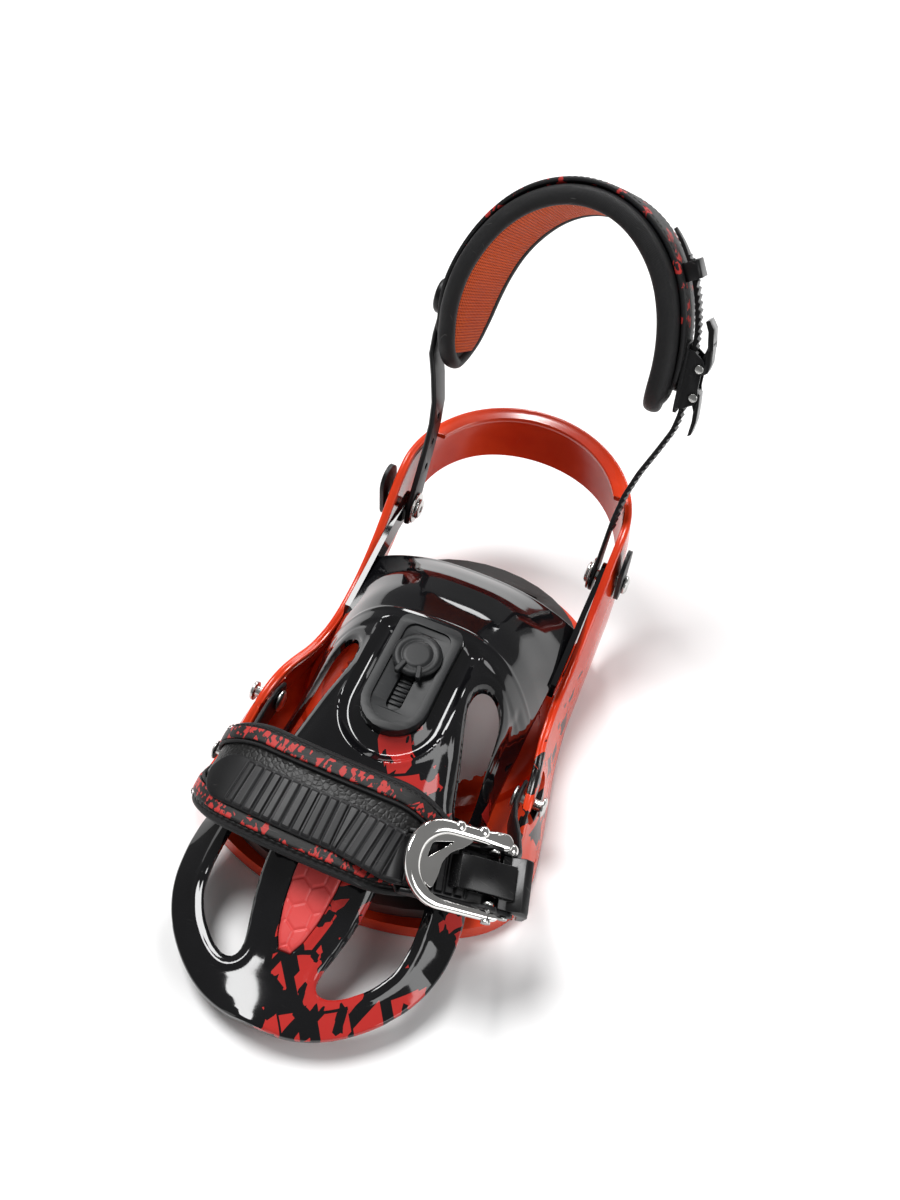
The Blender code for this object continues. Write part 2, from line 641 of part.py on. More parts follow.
def make_ankle_strap():
    axis = tuple(ANKLE_AXIS)
    flat = arch_path(0.0, 81.0, 93.0)
    path = ankle_point(flat[:, 0], flat[:, 1])
    length = np.linspace(0.0, 1.0, len(path))
    from_end = np.minimum(length, 1.0 - length)
    half = 25.5 * np.minimum(1.0, 0.50 + 3.2 * from_end) - 2.0 * np.sin(length * math.pi) ** 4
    thick = PAD_THICK * np.minimum(1.0, 0.75 + 3.0 * from_end)
    ribbon("ankle_pad", path, -LEAN_TOE, half, thick, "strap_fabric", axis_at=axis)
    flat = arch_path(PAD_THICK + GAP, 92.0, 104.0)
    path = ankle_point(flat[:, 0], flat[:, 1])
    half = 17.5 * np.minimum(1.0, 0.62 + 3.5 * from_end)
    ribbon("ankle_cover", path, -LEAN_TOE, half, COVER_THICK, "strap_plastic", axis_at=axis)
    # The perforated strap runs from the bolt up the outside of the pad to its knob.
    rise = np.array([(-51.2, -9), (-51.2, 4), (-51.2, 20), (-51.2, 34), (-51.5, 48), (-53.0, 60), (-57.2, 74), (-61.0, 84),
                     (-61.8, 94), (-61.6, 108), (-61.4, 122), (-60.4, 134)])
    half = along_table(rise[:, 1], [(-9, 4.5), (-4, 8), (4, 8.8), (24, 7.6), (50, 7.6), (66, 9), (120, 9), (134, 6)])
    connector = ribbon("ankle_connector", ankle_point(rise[:, 0], rise[:, 1]), -LEAN_TOE, half, 2.8,
                       "strap_plastic", axis_at=axis)
    for index, place in enumerate(HOLE_PLACES):
        start, end = tuple(ankle_point(-45.0, place)), tuple(ankle_point(-60.0, place))
        cut(connector, rod("connector_hole_%d" % index, start, end, 1.9, steps=10))
    cut(connector, rod("connector_bore", tuple(ankle_point(-40, 0)), tuple(ankle_point(-70, 0)),
                       BOLT_RADIUS + BOLT_CLEARANCE))
    knob_at = frame(tuple(ankle_point(-61.7 - 2.8 - GAP, 112.0)), tuple(LEAN_UP), (-1, 0, 0))
    lathe("ankle_knob", [(5.5, 4.6), (8.2, 4.0), (9.2, 2.6), (9.2, 0.0)], "strap_plastic", knob_at, 20, axis_at=axis)
    # The toothed ladder runs from the other bolt through the buckle and on through the keeper.
    rise = [(51.2, -9), (51.2, 4), (51.2, 18), (51.3, 32), (52.6, 46), (56.0, 60), (61.0, 74), (65.0, 86),
            (65.7, 95), (64.9, 103), (63.8, 112), (62.7, 121)]
    flat = np.concatenate([rise, arch(LADDER_OFFSET, np.linspace(74.0, 33.0, 12))])
    path, gone = evenly(ankle_point(flat[:, 0], flat[:, 1]), 3.2)
    ribbed = (gone > 34.0) & (gone < gone[-1] - 16.0)
    tall = 2.0 + 0.9 * (np.arange(len(path)) % 2) * ribbed
    half = along_table(gone, [(0, 4.5), (5, 8), (12, 8.6), (30, 6.2), (gone[-1] - 20, 6.2), (gone[-1], 2.6)])
    ladder = ribbon("ankle_ladder", path, LEAN_TOE, half, tall, "strap_plastic", corner=0.2, axis_at=axis)
    cut(ladder, rod("ladder_bore", tuple(ankle_point(40, 0)), tuple(ankle_point(70, 0)), BOLT_RADIUS + BOLT_CLEARANCE))
    # A square loop on the cover holds the ladder's tail.
    seat = arch(PAD_THICK + GAP + COVER_THICK + GAP, np.array([50.0, 50.5]))
    here, near = ankle_point(seat[:, 0], seat[:, 1])
    down = (near - here) / np.linalg.norm(near - here)
    loop_at = frame(tuple(here), tuple(LEAN_TOE), tuple(-down))
    outer = rounded(10.6, 4.2, 2.0, 4) + np.array([0.0, 4.2])
    inner = rounded(8.0, 2.3, 1.0, 3) + np.array([0.0, 4.2])
    prism("ankle_keeper", outer, -4.5, 4.5, "strap_plastic", loop_at, holes=(inner,), axis_at=axis)


# ---------------------------------------------------------------- ankle buckle

BUCKLE_S = 112.0              # height of the buckle's middle up the strap
BUCKLE_X = 61.4
BUCKLE_SLOPE = 0.12           # how far it leans in per unit of height
BUCKLE_WALL_IN = 7.4
BUCKLE_WALL_OUT = 9.4
PIN_RADIUS = 1.3
PIN_CLEARANCE = 0.25
RIVET_U = 13.6                # how far up and down the buckle its rivets sit
LEVER_PIN = (6.0, 8.3)        # (up the strap, out) from the buckle's origin
PAWL_PIN = (-8.0, 8.3)


def ankle_buckle_frame():
    """X up the strap, Y across it towards the toe, Z out to the side."""
    up = LEAN_UP - np.array([BUCKLE_SLOPE, 0.0, 0.0])
    out = np.array([1.0, 0.0, 0.0]) + BUCKLE_SLOPE * LEAN_UP
    return frame(tuple(ankle_point(BUCKLE_X, BUCKLE_S)), tuple(up), tuple(out))


def side_view(place):
    """From a buckle frame to one whose X and Y are the buckle's X and Z, so that a prism spans its width."""
    return place @ Matrix(((1, 0, 0, 0), (0, 0, -1, 0), (0, 1, 0, 0), (0, 0, 0, 1)))


def in_frame(place, u, v, w):
    return tuple(place @ Vector((u, v, w)))


def make_ankle_buckle():
    axis = tuple(ANKLE_AXIS)
    place = ankle_buckle_frame()
    across = side_view(place)
    base = prism("ankle_buckle_base", rounded(17.0, 12.2, 4.0, 4), 0.0, 1.5, "strap_plastic", place, axis_at=axis)
    wall_outline = [(-14.5, 0.6), (14.5, 0.6), (14.0, 4.0), (10.0, 9.4), (7.0, 10.6), (3.0, 9.6), (-4.0, 9.6),
                    (-8.0, 10.6), (-11.5, 9.2), (-14.2, 4.0)]
    for side in (1, -1):
        low, high = sorted((side * BUCKLE_WALL_IN, side * BUCKLE_WALL_OUT))
        join(base, prism("buckle_wall_%d" % side, wall_outline, low, high, where=across))
    for label, (u, w) in (("lever", LEVER_PIN), ("pawl", PAWL_PIN)):
        start, end = in_frame(place, u, -14, w), in_frame(place, u, 14, w)
        cut(base, rod("ankle_%s_hole" % label, start, end, PIN_RADIUS + PIN_CLEARANCE, steps=14))
        pin = lathe("ankle_%s_pin" % label, [(2.1, 10.7), (2.1, 9.7), (PIN_RADIUS, 9.7), (PIN_RADIUS, -9.7),
                                             (2.1, -9.7), (2.1, -10.7)], "steel",
                    side_view(place) @ Matrix.Translation((u, w, 0)), 14, axis_at=axis)
        smooth(pin)
    for tag, u in {"upper": RIVET_U, "lower": -RIVET_U}.items():
        at = place @ Matrix.Translation((u, 0, 0))
        head = [(2.2, 2.15), (3.0, 1.8), (1.35, 1.8), (1.35, -0.1), (0.6, -0.2)]
        cut(base, lathe("rivet_hole_" + tag, [(1.65, 4.0), (1.65, -3.0)], where=at, steps=12))
        smooth(lathe("ankle_rivet_" + tag, head, "steel", at, 12, axis_at=axis))
    lever_axis = in_frame(place, LEVER_PIN[0], 0, LEVER_PIN[1])
    u, w = LEVER_PIN
    grip = [(15.2, 10.2), (24, 8.6), (28.5, 6.4), (29.5, 8.0), (25.5, 11.0), (16.0, 12.8)]
    lever = prism("ankle_lever", grip, -9.2, 9.2, "nylon_black", across, axis_at=lever_axis)
    neck = [(u - 2.2, w), (u - 1.5, w - 1.7), (u, w - 2.2), (u + 1.5, w - 1.7), (u + 2.4, w - 0.6), (17, 9.9),
            (20, 9.6), (19, 12.4), (u + 3, 13.3), (u - 1.5, 12.4), (u - 3, 10.6)]
    join(lever, prism("lever_neck", neck, -6.9, 6.9, where=across))
    cut(lever, rod("lever_hole", in_frame(place, u, -14, w), in_frame(place, u, 14, w), PIN_RADIUS + PIN_CLEARANCE,
                   steps=14))
    pawl_axis = in_frame(place, PAWL_PIN[0], 0, PAWL_PIN[1])
    u, w = PAWL_PIN
    pawl_side = [(u + 5.4, 5.75), (u + 5.6, 6.6), (u + 3.0, 8.8), (u + 1.6, 11.0), (-12, 11.6), (-20, 12.0), (-26.5, 11.0),
                 (-27.5, 9.3), (-20, 9.9), (-15, 9.6), (u - 2.0, 7.4), (u - 1.2, 6.5), (u + 1.0, 6.2)]
    pawl = prism("ankle_pawl", pawl_side, -6.9, 6.9, "nylon_black", across, axis_at=pawl_axis)
    cut(pawl, rod("pawl_hole", in_frame(place, u, -14, w), in_frame(place, u, 14, w), PIN_RADIUS + PIN_CLEARANCE,
                  steps=14))


# ---------------------------------------------------------------- bolts at the strap pivots

def make_pivots():
    tilt = math.atan2(2.3, 32.0)
    for side in (1, -1):
        tag = "right" if side > 0 else "left"
        at = frame((0, PIVOT_Y, PIVOT_Z), (0, 1, 0), (side, 0, 0))
        bolt = lathe("ankle_bolt_" + tag, [(3.4, 70.6), (4.9, 69.8), (4.9, 68.2), (BOLT_RADIUS, 68.2), (BOLT_RADIUS, 49.3),
                                          (5.6, 49.3), (5.6, 48.3), (4.4, 47.5)], "steel", at, 18)
        socket = prism("bolt_socket_" + tag, circle(2.2, 6), 46.0, 48.9, where=at)
        cut(bolt, socket)
        smooth(bolt)
        washer = lathe("ankle_washer_" + tag, [(8.6, 50.85), (8.6, 50.1), (8.0, 49.65)], "steel", at, 28)
        cut(washer, lathe("washer_bore_" + tag, [(BOLT_RADIUS + BOLT_CLEARANCE, 60.0), (BOLT_RADIUS + BOLT_CLEARANCE, 40.0)],
                          where=at, steps=20))
        smooth(washer)
        lean = frame((side * 65.6, PIVOT_Y - 2.0, PIVOT_Z + 8.0), (0, -0.18, 1.0), (side, 0, math.tan(tilt)))
        cover = prism("hardware_cover_" + tag, slot_outline(33.0, 17.0), 0.0, 2.2, "strap_plastic", lean)
        cut(cover, rod("cover_bore_" + tag, (side * 60, PIVOT_Y, PIVOT_Z), (side * 75, PIVOT_Y, PIVOT_Z),
                       BOLT_RADIUS + BOLT_CLEARANCE))
        bevel(cover, 0.7, 1)
        smooth(cover)
        at = frame((0, TOE_PIVOT_Y, TOE_PIVOT_Z), (0, 1, 0), (side, 0, 0))
        toe = lathe("toe_bolt_" + tag, [(3.2, 76.4), (4.8, 75.6), (4.8, 74.2), (2.7, 74.2), (2.7, 61.6),
                                       (5.4, 61.6), (5.4, 60.6), (4.2, 60.0)], "steel", at, 20)
        smooth(toe)


# ---------------------------------------------------------------- toe strap

TOE_AXIS = np.array([0.0, TOE_PIVOT_Y, TOE_PIVOT_Z])
TOE_SIDE = np.array([0.0, -0.954, -0.30])
TOE_THICK = 8.6
TOE_LEVER_PIN = (15.0, 2.4)   # (along the strap, up) from the buckle's origin
TOE_TAB_PIN = (25.0, -2.6)
TOE_WALL_IN = 11.7
TOE_WALL_OUT = 13.3


def toe_inner(turn):
    """The underside of the toe strap: turn is -90 degrees at its left end and 0 at the crown."""
    turn = np.radians(turn)
    rise = np.maximum(np.cos(turn), 0.0) ** 0.5
    return np.column_stack([61.0 * np.sin(turn), -92.0 - 23.3 * rise, 34.0 + 25.6 * rise])


def toe_surface(turn, lift, shift):
    """A path lifted off the strap's underside and moved across it towards the toe."""
    path = toe_inner(turn)
    tangent = directions(path)
    side = TOE_SIDE - tangent * (tangent @ TOE_SIDE)[:, None]
    side /= np.linalg.norm(side, axis=1)[:, None]
    out = np.cross(side, tangent)
    out *= np.where(out[:, 2:] < 0, -1.0, 1.0)
    return path + out * lift + side * shift


def make_toe_strap():
    axis = tuple(TOE_AXIS)
    turn = np.concatenate([[-88, -84, -79, -73, -66], np.linspace(-57.0, 57.0, 12)])
    path = toe_inner(turn)
    share = np.linspace(0.0, 1.0, len(path))
    half = 24.0 * np.minimum(1.0, 0.52 + 2.6 * np.minimum(share, 1.0 - share))
    thick = along_table(share, [(0.0, 6.4), (0.12, TOE_THICK), (0.82, TOE_THICK), (0.92, 6.0), (1.0, 3.2)])
    ribbon("toe_pad", path, -TOE_SIDE, half, thick, "strap_fabric", corner=0.4, axis_at=axis)
    place = toe_buckle_frame()
    over = toe_surface(np.linspace(-72.0, 6.0, 20), TOE_THICK + GAP + 0.2, 8.0)
    inlet = np.array([in_frame(place, u, 0.0, -6.2) for u in (-24.0, -16.0, -8.0, 0.0, 8.0, 15.0)])
    path, gone = evenly(np.concatenate([over, inlet]), 2.6)
    side = np.where((gone < gone[-1] - 46.0)[:, None], TOE_SIDE, -np.array(place.col[1][:3]))
    ribbed = (gone > 9.0) & (gone < gone[-1] - 8.0)
    tall = 2.0 + 1.3 * (np.arange(len(path)) % 2) * ribbed
    half = along_table(gone, [(0, 4.0), (3, 8.5), (8, 12.3), (gone[-1] - 68, 12.3), (gone[-1] - 47, 10.8), (gone[-1], 10.8)])
    ribbon("toe_ladder", path, -side, half, tall, "strap_plastic", corner=0.2, axis_at=axis)
    # A short strap on each side runs from its bolt to the pad's left end and to the buckle.
    run = np.array([(-62.3, -41, 29.9), (-62.3, -49, 31.0), (-62.0, -60, 32.3), (-61.0, -72, 33.6), (-59.8, -83, 35.4),
                    (-58.8, -91, 37.6), (-58.4, -97, 40.5)])
    half = [4.8, 7.6, 7.6, 7.6, 7.4, 7.2, 5.0]
    left = ribbon("toe_connector_left", run, (0.0, 0.2, 1.0), half, 2.0, "strap_plastic", axis_at=axis)
    cut(left, bolt_bore("left_bore", -1))
    pad = bpy.data.objects["toe_pad"]
    rivet_at = frame((0.0, -94.0, 39.6), (0, 1, 0), (-1, 0, 0))
    hole = lathe("toe_rivet_hole", [(2.1, 90.0), (2.1, 50.0)], where=rivet_at, steps=12)
    cut(pad, hole)
    cut(left, hole)
    smooth(lathe("toe_rivet_left", [(3.0, 71.9), (4.4, 71.2), (4.4, 70.4), (1.8, 70.4), (1.8, 57.7), (3.6, 57.7), (3.6, 57.0)],
                 "steel", rivet_at, 14, axis_at=axis))
    bends = [(62.3, -41, 29.9), (62.3, -49, 31.0), (62.6, -60, 33.2), (65.6, -70, 36.0), (70.4, -80, 38.6),
             (74.4, -90, 41.2), (75.6, -98, 44.0), (73.6, -105.0, 46.8)]
    ends = [in_frame(place, u, 0.0, -12.3) for u in (19.0, 12.0)]
    run = np.array(bends + ends)
    turned = np.clip((np.arange(len(run)) - 2.0) / 5.0, 0.0, 1.0)[:, None]
    side = (1.0 - turned) * np.array([0.0, 0.2, 1.0]) + turned * np.array(place.col[1][:3])
    half = [4.8, 7.6, 7.6, 7.6, 7.6, 7.8, 8.2, 8.6, 8.8, 8.8]
    right = ribbon("toe_connector_right", run, -side, half, 2.0, "strap_plastic", axis_at=axis)
    cut(right, bolt_bore("right_bore", 1))


def bolt_bore(name, side):
    start, end = (side * 50, TOE_PIVOT_Y, TOE_PIVOT_Z), (side * 90, TOE_PIVOT_Y, TOE_PIVOT_Z)
    return rod(name, start, end, BOLT_RADIUS, steps=16)


def make_toe_buckle():
    axis = tuple(TOE_AXIS)
    place = toe_buckle_frame()
    across = side_view(place)
    base = prism("toe_buckle_base", rounded(23.0, TOE_WALL_OUT, 3.0, 4), -9.4, -8.0, "strap_plastic", place, axis_at=axis)
    wall_outline = [(-21, -8.8), (21.5, -8.8), (28.5, -6.0), (29.0, -1.4), (27.0, 0.2), (21.0, 0.6), (17.8, 4.6),
                    (12.4, 4.6), (9.0, 0.2), (-4.0, -1.6), (-16.0, -2.4), (-21.5, -5.0)]
    for side in (1, -1):
        low, high = sorted((side * TOE_WALL_IN, side * TOE_WALL_OUT))
        join(base, prism("toe_wall_%d" % side, wall_outline, low, high, where=across))
    for label, (u, w) in (("lever", TOE_LEVER_PIN), ("tab", TOE_TAB_PIN)):
        start, end = in_frame(place, u, -20, w), in_frame(place, u, 20, w)
        cut(base, rod("toe_%s_hole" % label, start, end, PIN_RADIUS + PIN_CLEARANCE, steps=14))
    u, w = TOE_LEVER_PIN
    stub = [(2.1, 19.0), (2.1, 17.9), (PIN_RADIUS, 17.9), (PIN_RADIUS, 11.5), (2.3, 11.5), (2.3, 10.3)]
    for tag, turn in (("front", 0.0), ("rear", math.pi)):
        at = across @ Matrix.Translation((u, w, 0)) @ Matrix.Rotation(turn, 4, "X")
        smooth(lathe("toe_lever_pin_" + tag, stub, "steel", at, 14, axis_at=axis))
    lever_axis = in_frame(place, u, 0, w)
    round_end = np.radians(np.linspace(90.0, 270.0, 15))
    inside_end = np.radians(np.linspace(270.0, 90.0, 13))
    arm_end = np.radians(np.linspace(-90.0, 90.0, 7))
    front_arm = np.column_stack([u + 3.6 * np.cos(arm_end), -15.8 + 2.0 * np.sin(arm_end)])
    rear_arm = front_arm + np.array([0.0, 31.6])
    loop = np.concatenate([np.column_stack([-7.7 + 17.8 * np.cos(round_end), 17.8 * np.sin(round_end)]), front_arm,
                           np.column_stack([-2.0 + 11.0 * np.cos(inside_end), 13.8 * np.sin(inside_end)]), rear_arm])
    lever = prism("toe_lever", loop, 0.6, 4.4, "chrome", place, axis_at=lever_axis)
    bevel(lever, 1.0, 2)
    cut(lever, rod("toe_lever_bore", in_frame(place, u, -20, w), in_frame(place, u, 20, w),
                   PIN_RADIUS + PIN_CLEARANCE, steps=14))
    smooth(lever)
    u, w = TOE_TAB_PIN
    head = [(2.1, 14.7), (2.1, 13.6), (PIN_RADIUS, 13.6), (PIN_RADIUS, -13.6), (2.1, -13.6), (2.1, -14.7)]
    smooth(lathe("toe_tab_pin", head, "steel", across @ Matrix.Translation((u, w, 0)), 14, axis_at=axis))
    tab_axis = in_frame(place, u, 0, w)
    nose = [(-1.5, -2.2), (1.0, 1.6), (6.0, 3.4), (26.0, 3.8), (26.0, -1.0), (18.0, -2.2)]
    tab_side = [(20.6, 0.4), (24.5, 0.6), (29.5, 4.4), (34.0, 2.6), (37.5, -4.0), (39.0, -11.0), (36.0, -12.0),
                (33.4, -6.0), (30.0, -3.4), (27.6, -4.8), (u, -5.4), (22.6, -4.6), (20.6, -3.0)]
    tab = prism("toe_tab", tab_side, -11.3, 11.3, "nylon_black", across, axis_at=tab_axis)
    join(tab, prism("tab_nose", nose, -7.0, 7.0, where=across))
    cut(tab, rod("toe_tab_bore", in_frame(place, u, -20, w), in_frame(place, u, 20, w),
                 PIN_RADIUS + PIN_CLEARANCE, steps=14))
    # One rivet joins the buckle's base to the short strap under it.
    at = place @ Matrix.Translation((17.0, 0, 0))
    for item in (base, bpy.data.objects["toe_connector_right"]):
        cut(item, lathe("rivet_hole_" + item.name, [(2.0, 0.0), (2.0, -20.0)], where=at, steps=12))
    smooth(lathe("toe_rivet_right", [(2.6, -7.0), (3.6, -7.5), (1.7, -7.6), (1.7, -12.6), (3.4, -12.65), (3.4, -13.3)],
                 "steel", at, 14, axis_at=axis))


def toe_buckle_frame():
    """X along the strap towards its outer end, Y across it towards the heel, Z up off it."""
    along = Vector((0.852, 0.370, -0.370))
    up = Vector((0.459, -0.188, 0.869))
    return frame((56.0, -121.0, 68.0), along, up)


make_base()
make_highback()
make_adjuster()
make_ankle_strap()
make_ankle_buckle()
make_pivots()
make_toe_strap()
make_toe_buckle()
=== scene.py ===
# Snowboard strap binding with its highback folded forward under the toe strap.
# Lengths in the shape code are millimetres in the binding's own axes; toWorld turns them to metres.
import bmesh
import bpy
import math
import numpy as np
from mathutils import Matrix, Vector


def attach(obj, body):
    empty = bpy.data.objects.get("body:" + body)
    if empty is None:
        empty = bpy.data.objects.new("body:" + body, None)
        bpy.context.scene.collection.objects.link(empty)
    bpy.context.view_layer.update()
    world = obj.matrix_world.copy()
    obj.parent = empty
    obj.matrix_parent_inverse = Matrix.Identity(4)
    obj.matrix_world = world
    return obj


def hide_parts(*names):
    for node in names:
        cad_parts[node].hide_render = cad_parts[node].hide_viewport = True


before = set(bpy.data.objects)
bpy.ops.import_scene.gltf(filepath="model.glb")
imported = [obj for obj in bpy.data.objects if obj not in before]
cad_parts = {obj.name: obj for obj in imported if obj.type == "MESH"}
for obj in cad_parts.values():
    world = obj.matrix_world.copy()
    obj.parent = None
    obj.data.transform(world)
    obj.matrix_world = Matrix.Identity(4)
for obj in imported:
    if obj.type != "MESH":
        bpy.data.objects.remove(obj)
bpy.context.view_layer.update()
print("frame loaded")


def toWorld(points):
    # world = (own axes - middle of the box) / 1000
    return (np.asarray(points, float) - np.array([3.0, -4.9, 0.0])) * 0.001


def readTable(at, pairs, reach=0.0):
    # straight reading of the table, averaged over nine places within reach, which rounds its corners
    pairs = np.asarray(pairs, float)
    at = np.asarray(at, float)
    spread = np.linspace(-reach, reach, 9) if reach else np.zeros(1)
    return np.mean([np.interp(at + step, pairs[:, 0], pairs[:, 1]) for step in spread], axis=0)


def smoothStep(value):
    # 3v^2 - 2v^3 between 0 and 1
    value = np.clip(value, 0.0, 1.0)
    return value * value * (3.0 - 2.0 * value)


def bump1d(value, width):
    # exp(-(v/width)^2)
    return np.exp(-(value / width) ** 2)


def unit(vectors):
    return vectors / np.maximum(np.linalg.norm(vectors, axis=-1, keepdims=True), 1e-9)


def evenly(path, count):
    # the same line read at equal steps of its own length
    path = np.asarray(path, float)
    gone = np.concatenate([[0.0], np.cumsum(np.linalg.norm(np.diff(path, axis=0), axis=1))])
    at = np.linspace(0.0, gone[-1], count)
    return np.column_stack([np.interp(at, gone, path[:, k]) for k in range(path.shape[1])]), at


def rounder(path, times, closed=False):
    # each inner point moves to a quarter of each neighbour plus half of itself, repeated
    path = np.array(path, float)
    for step in range(times):
        if closed:
            path = 0.25 * np.roll(path, 1, 0) + 0.5 * path + 0.25 * np.roll(path, -1, 0)
        else:
            path[1:-1] = 0.25 * path[:-2] + 0.5 * path[1:-1] + 0.25 * path[2:]
    return path


def place(origin, along, up):
    # X along, Z as near up as it can be, Y from up cross along
    along = Vector(along).normalized()
    up = Vector(up)
    up = (up - along * up.dot(along)).normalized()
    made = Matrix((along, up.cross(along), up)).transposed().to_4x4()
    made.translation = Vector(origin)
    return made


def into(points, where):
    # each point turned by the frame's axes and moved to its origin
    where = np.array(where)
    return np.asarray(points, float) @ where[:3, :3].T + where[:3, 3]


def makeObject(name, points, faces, uv=None, sharp=35.0):
    # a mesh from millimetre points, normals turned outward, corners over the angle kept sharp
    mesh = bpy.data.meshes.new(name)
    faceList = [list(map(int, face)) for face in faces] if isinstance(faces, list) else faces.tolist()
    mesh.from_pydata(toWorld(points).tolist(), [], faceList)
    if uv is not None:
        layer = mesh.uv_layers.new(name="cloth")
        layer.data.foreach_set("uv", np.asarray(uv, np.float32).ravel())
    shell = bmesh.new()
    shell.from_mesh(mesh)
    bmesh.ops.remove_doubles(shell, verts=shell.verts, dist=2e-7)
    bmesh.ops.recalc_face_normals(shell, faces=shell.faces)
    shell.to_mesh(mesh)
    shell.free()
    made = bpy.data.objects.new(name, mesh)
    bpy.context.scene.collection.objects.link(made)
    shade(made, sharp)
    return made


def shade(made, sharp):
    made.data.polygons.foreach_set("use_smooth", np.ones(len(made.data.polygons), bool))
    made.data.set_sharp_from_angle(angle=math.radians(sharp))


def loft(name, rings, closed=False, sharp=35.0, ends="fan"):
    # quads between each loop and the next; open ends get a fan to the loop's middle, or one flat face
    rings = np.asarray(rings, float)
    count, around = rings.shape[:2]
    rows = count if closed else count - 1
    at = np.arange(count * around).reshape(count, around)
    nextRow, nextCol = np.roll(at, -1, 0), np.roll(at, -1, 1)
    both = np.roll(nextRow, -1, 1)
    quads = np.stack([at, nextRow, both, nextCol], axis=2)[:rows].reshape(-1, 4)
    points = rings.reshape(-1, 3)
    middle = rings.mean(1)
    gone = np.concatenate([[0.0], np.cumsum(np.linalg.norm(np.diff(middle, axis=0), axis=1))])
    gone = np.append(gone, gone[-1] + 1.0)
    girth = np.linalg.norm(np.diff(rings[count // 2], axis=0), axis=1)
    girth = np.concatenate([[0.0], np.cumsum(girth)])
    girth = np.append(girth, girth[-1] + girth[1])
    u0, v0 = np.meshgrid(gone[:rows], girth[:-1], indexing="ij")
    u1, v1 = np.meshgrid(gone[1:rows + 1], girth[1:], indexing="ij")
    uv = np.stack([u0, v0, u1, v0, u1, v1, u0, v1], axis=2).reshape(-1, 2) * 0.001
    faces = quads.tolist()
    if ends == "face":
        faces += [at[0, ::-1].tolist(), at[-1].tolist()]
        uv = np.concatenate([uv, np.zeros((around * 2, 2))])
    elif not closed:
        points = np.concatenate([points, rings[0].mean(0)[None], rings[-1].mean(0)[None]])
        first, last = count * around, count * around + 1
        ring = np.arange(around)
        after = np.roll(ring, -1)
        low = np.column_stack([ring, after, np.full(around, first)])
        top = (count - 1) * around
        high = np.column_stack([after + top, ring + top, np.full(around, last)])
        faces += low.tolist() + high.tolist()
        uv = np.concatenate([uv, np.zeros((around * 6, 2))])
    return makeObject(name, points, faces, uv, sharp)


def roundSection(count, power=0.6):
    # superellipse: cos and sin of the turn with their size raised to a power under one
    turn = np.linspace(0.0, 2.0 * math.pi, count, endpoint=False)
    across, up = np.cos(turn), np.sin(turn)
    return np.column_stack([np.sign(across) * np.abs(across) ** power, np.sign(up) * np.abs(up) ** power])


def axesAlong(path, side):
    # tangent, side made square to it, and out = tangent cross side
    tangent = unit(np.gradient(path, axis=0))
    side = np.broadcast_to(np.asarray(side, float), path.shape)
    side = unit(side - tangent * (side * tangent).sum(1)[:, None])
    return tangent, side, np.cross(tangent, side)


def ringsAlong(path, side, out, across, up):
    # path + side * across + out * up, a loop of points at each place of the path
    return path[:, None] + side[:, None] * across[:, :, None] + out[:, None] * up[:, :, None]


def sweep(name, path, side, half, low, high, power=0.6, count=40, closed=False, crown=0.0):
    # loops of a superellipse, half wide and from low to high, set square to the path; crown lifts the middle
    path = np.asarray(path, float)
    if closed:
        tangent = unit(np.roll(path, -1, 0) - np.roll(path, 1, 0))
        side = np.broadcast_to(np.asarray(side, float), path.shape)
        side = unit(side - tangent * (side * tangent).sum(1)[:, None])
        out = np.cross(tangent, side)
    else:
        tangent, side, out = axesAlong(path, side)
    half, low, high = (np.broadcast_to(np.asarray(v, float), len(path)) for v in (half, low, high))
    section = roundSection(count, power)
    across = section[None, :, 0] * half[:, None]
    up = (low + high)[:, None] / 2.0 + section[None, :, 1] * ((high - low)[:, None] / 2.0)
    up = up + crown * (1.0 - section[None, :, 0] ** 2) * (section[None, :, 1] > 0)
    return loft(name, ringsAlong(path, side, out, across, up), closed)


def slab(name, outline, low, high, where=Matrix.Identity(4), edge=0.0, sharp=35.0):
    # a flat outline made thick, with bevelled edges
    outline = np.asarray(outline, float)
    count = len(outline)
    points = np.concatenate([np.column_stack([outline, np.full(count, low)]),
                             np.column_stack([outline, np.full(count, high)])])
    ring = np.arange(count)
    after = np.roll(ring, -1)
    sides = np.column_stack([ring, after, after + count, ring + count]).tolist()
    flats = [ring[::-1].tolist(), (ring + count).tolist()]
    made = makeObject(name, into(points, where), sides + flats, None, sharp)
    if edge:
        addBevel(made, edge, 3)
    return made


def turned(name, profile, where=Matrix.Identity(4), steps=64, sharp=30.0):
    # a profile of (radius, height) turned about Z and closed at both ends
    turn = np.linspace(0.0, 2.0 * math.pi, steps, endpoint=False)
    profile = np.asarray(profile, float)
    rings = np.stack([profile[:, :1] * np.cos(turn), profile[:, :1] * np.sin(turn),
                      np.repeat(profile[:, 1:], steps, axis=1)], axis=2)
    return loft(name, into(rings, where), sharp=sharp)


def addBevel(made, width, segments=2, limit=30.0):
    step = made.modifiers.new("edges", "BEVEL")
    step.width = width * 0.001
    step.segments = segments
    step.limit_method = "ANGLE"
    step.angle_limit = math.radians(limit)
    step.harden_normals = True
    step.use_clamp_overlap = True


def booleans(made, joins=(), cuts=(), sharp=30.0):
    # unions then differences, worked out once and kept as the piece's own mesh
    for operation, others in (("UNION", joins), ("DIFFERENCE", cuts)):
        for other in others:
            step = made.modifiers.new(other.name, "BOOLEAN")
            step.operation = operation
            step.solver = "EXACT"
            step.object = other
    bpy.context.view_layer.update()
    graph = bpy.context.evaluated_depsgraph_get()
    result = bpy.data.meshes.new_from_object(made.evaluated_get(graph))
    made.modifiers.clear()
    made.data = result
    for other in [*joins, *cuts]:
        bpy.data.objects.remove(other, do_unlink=True)
    shade(made, sharp)


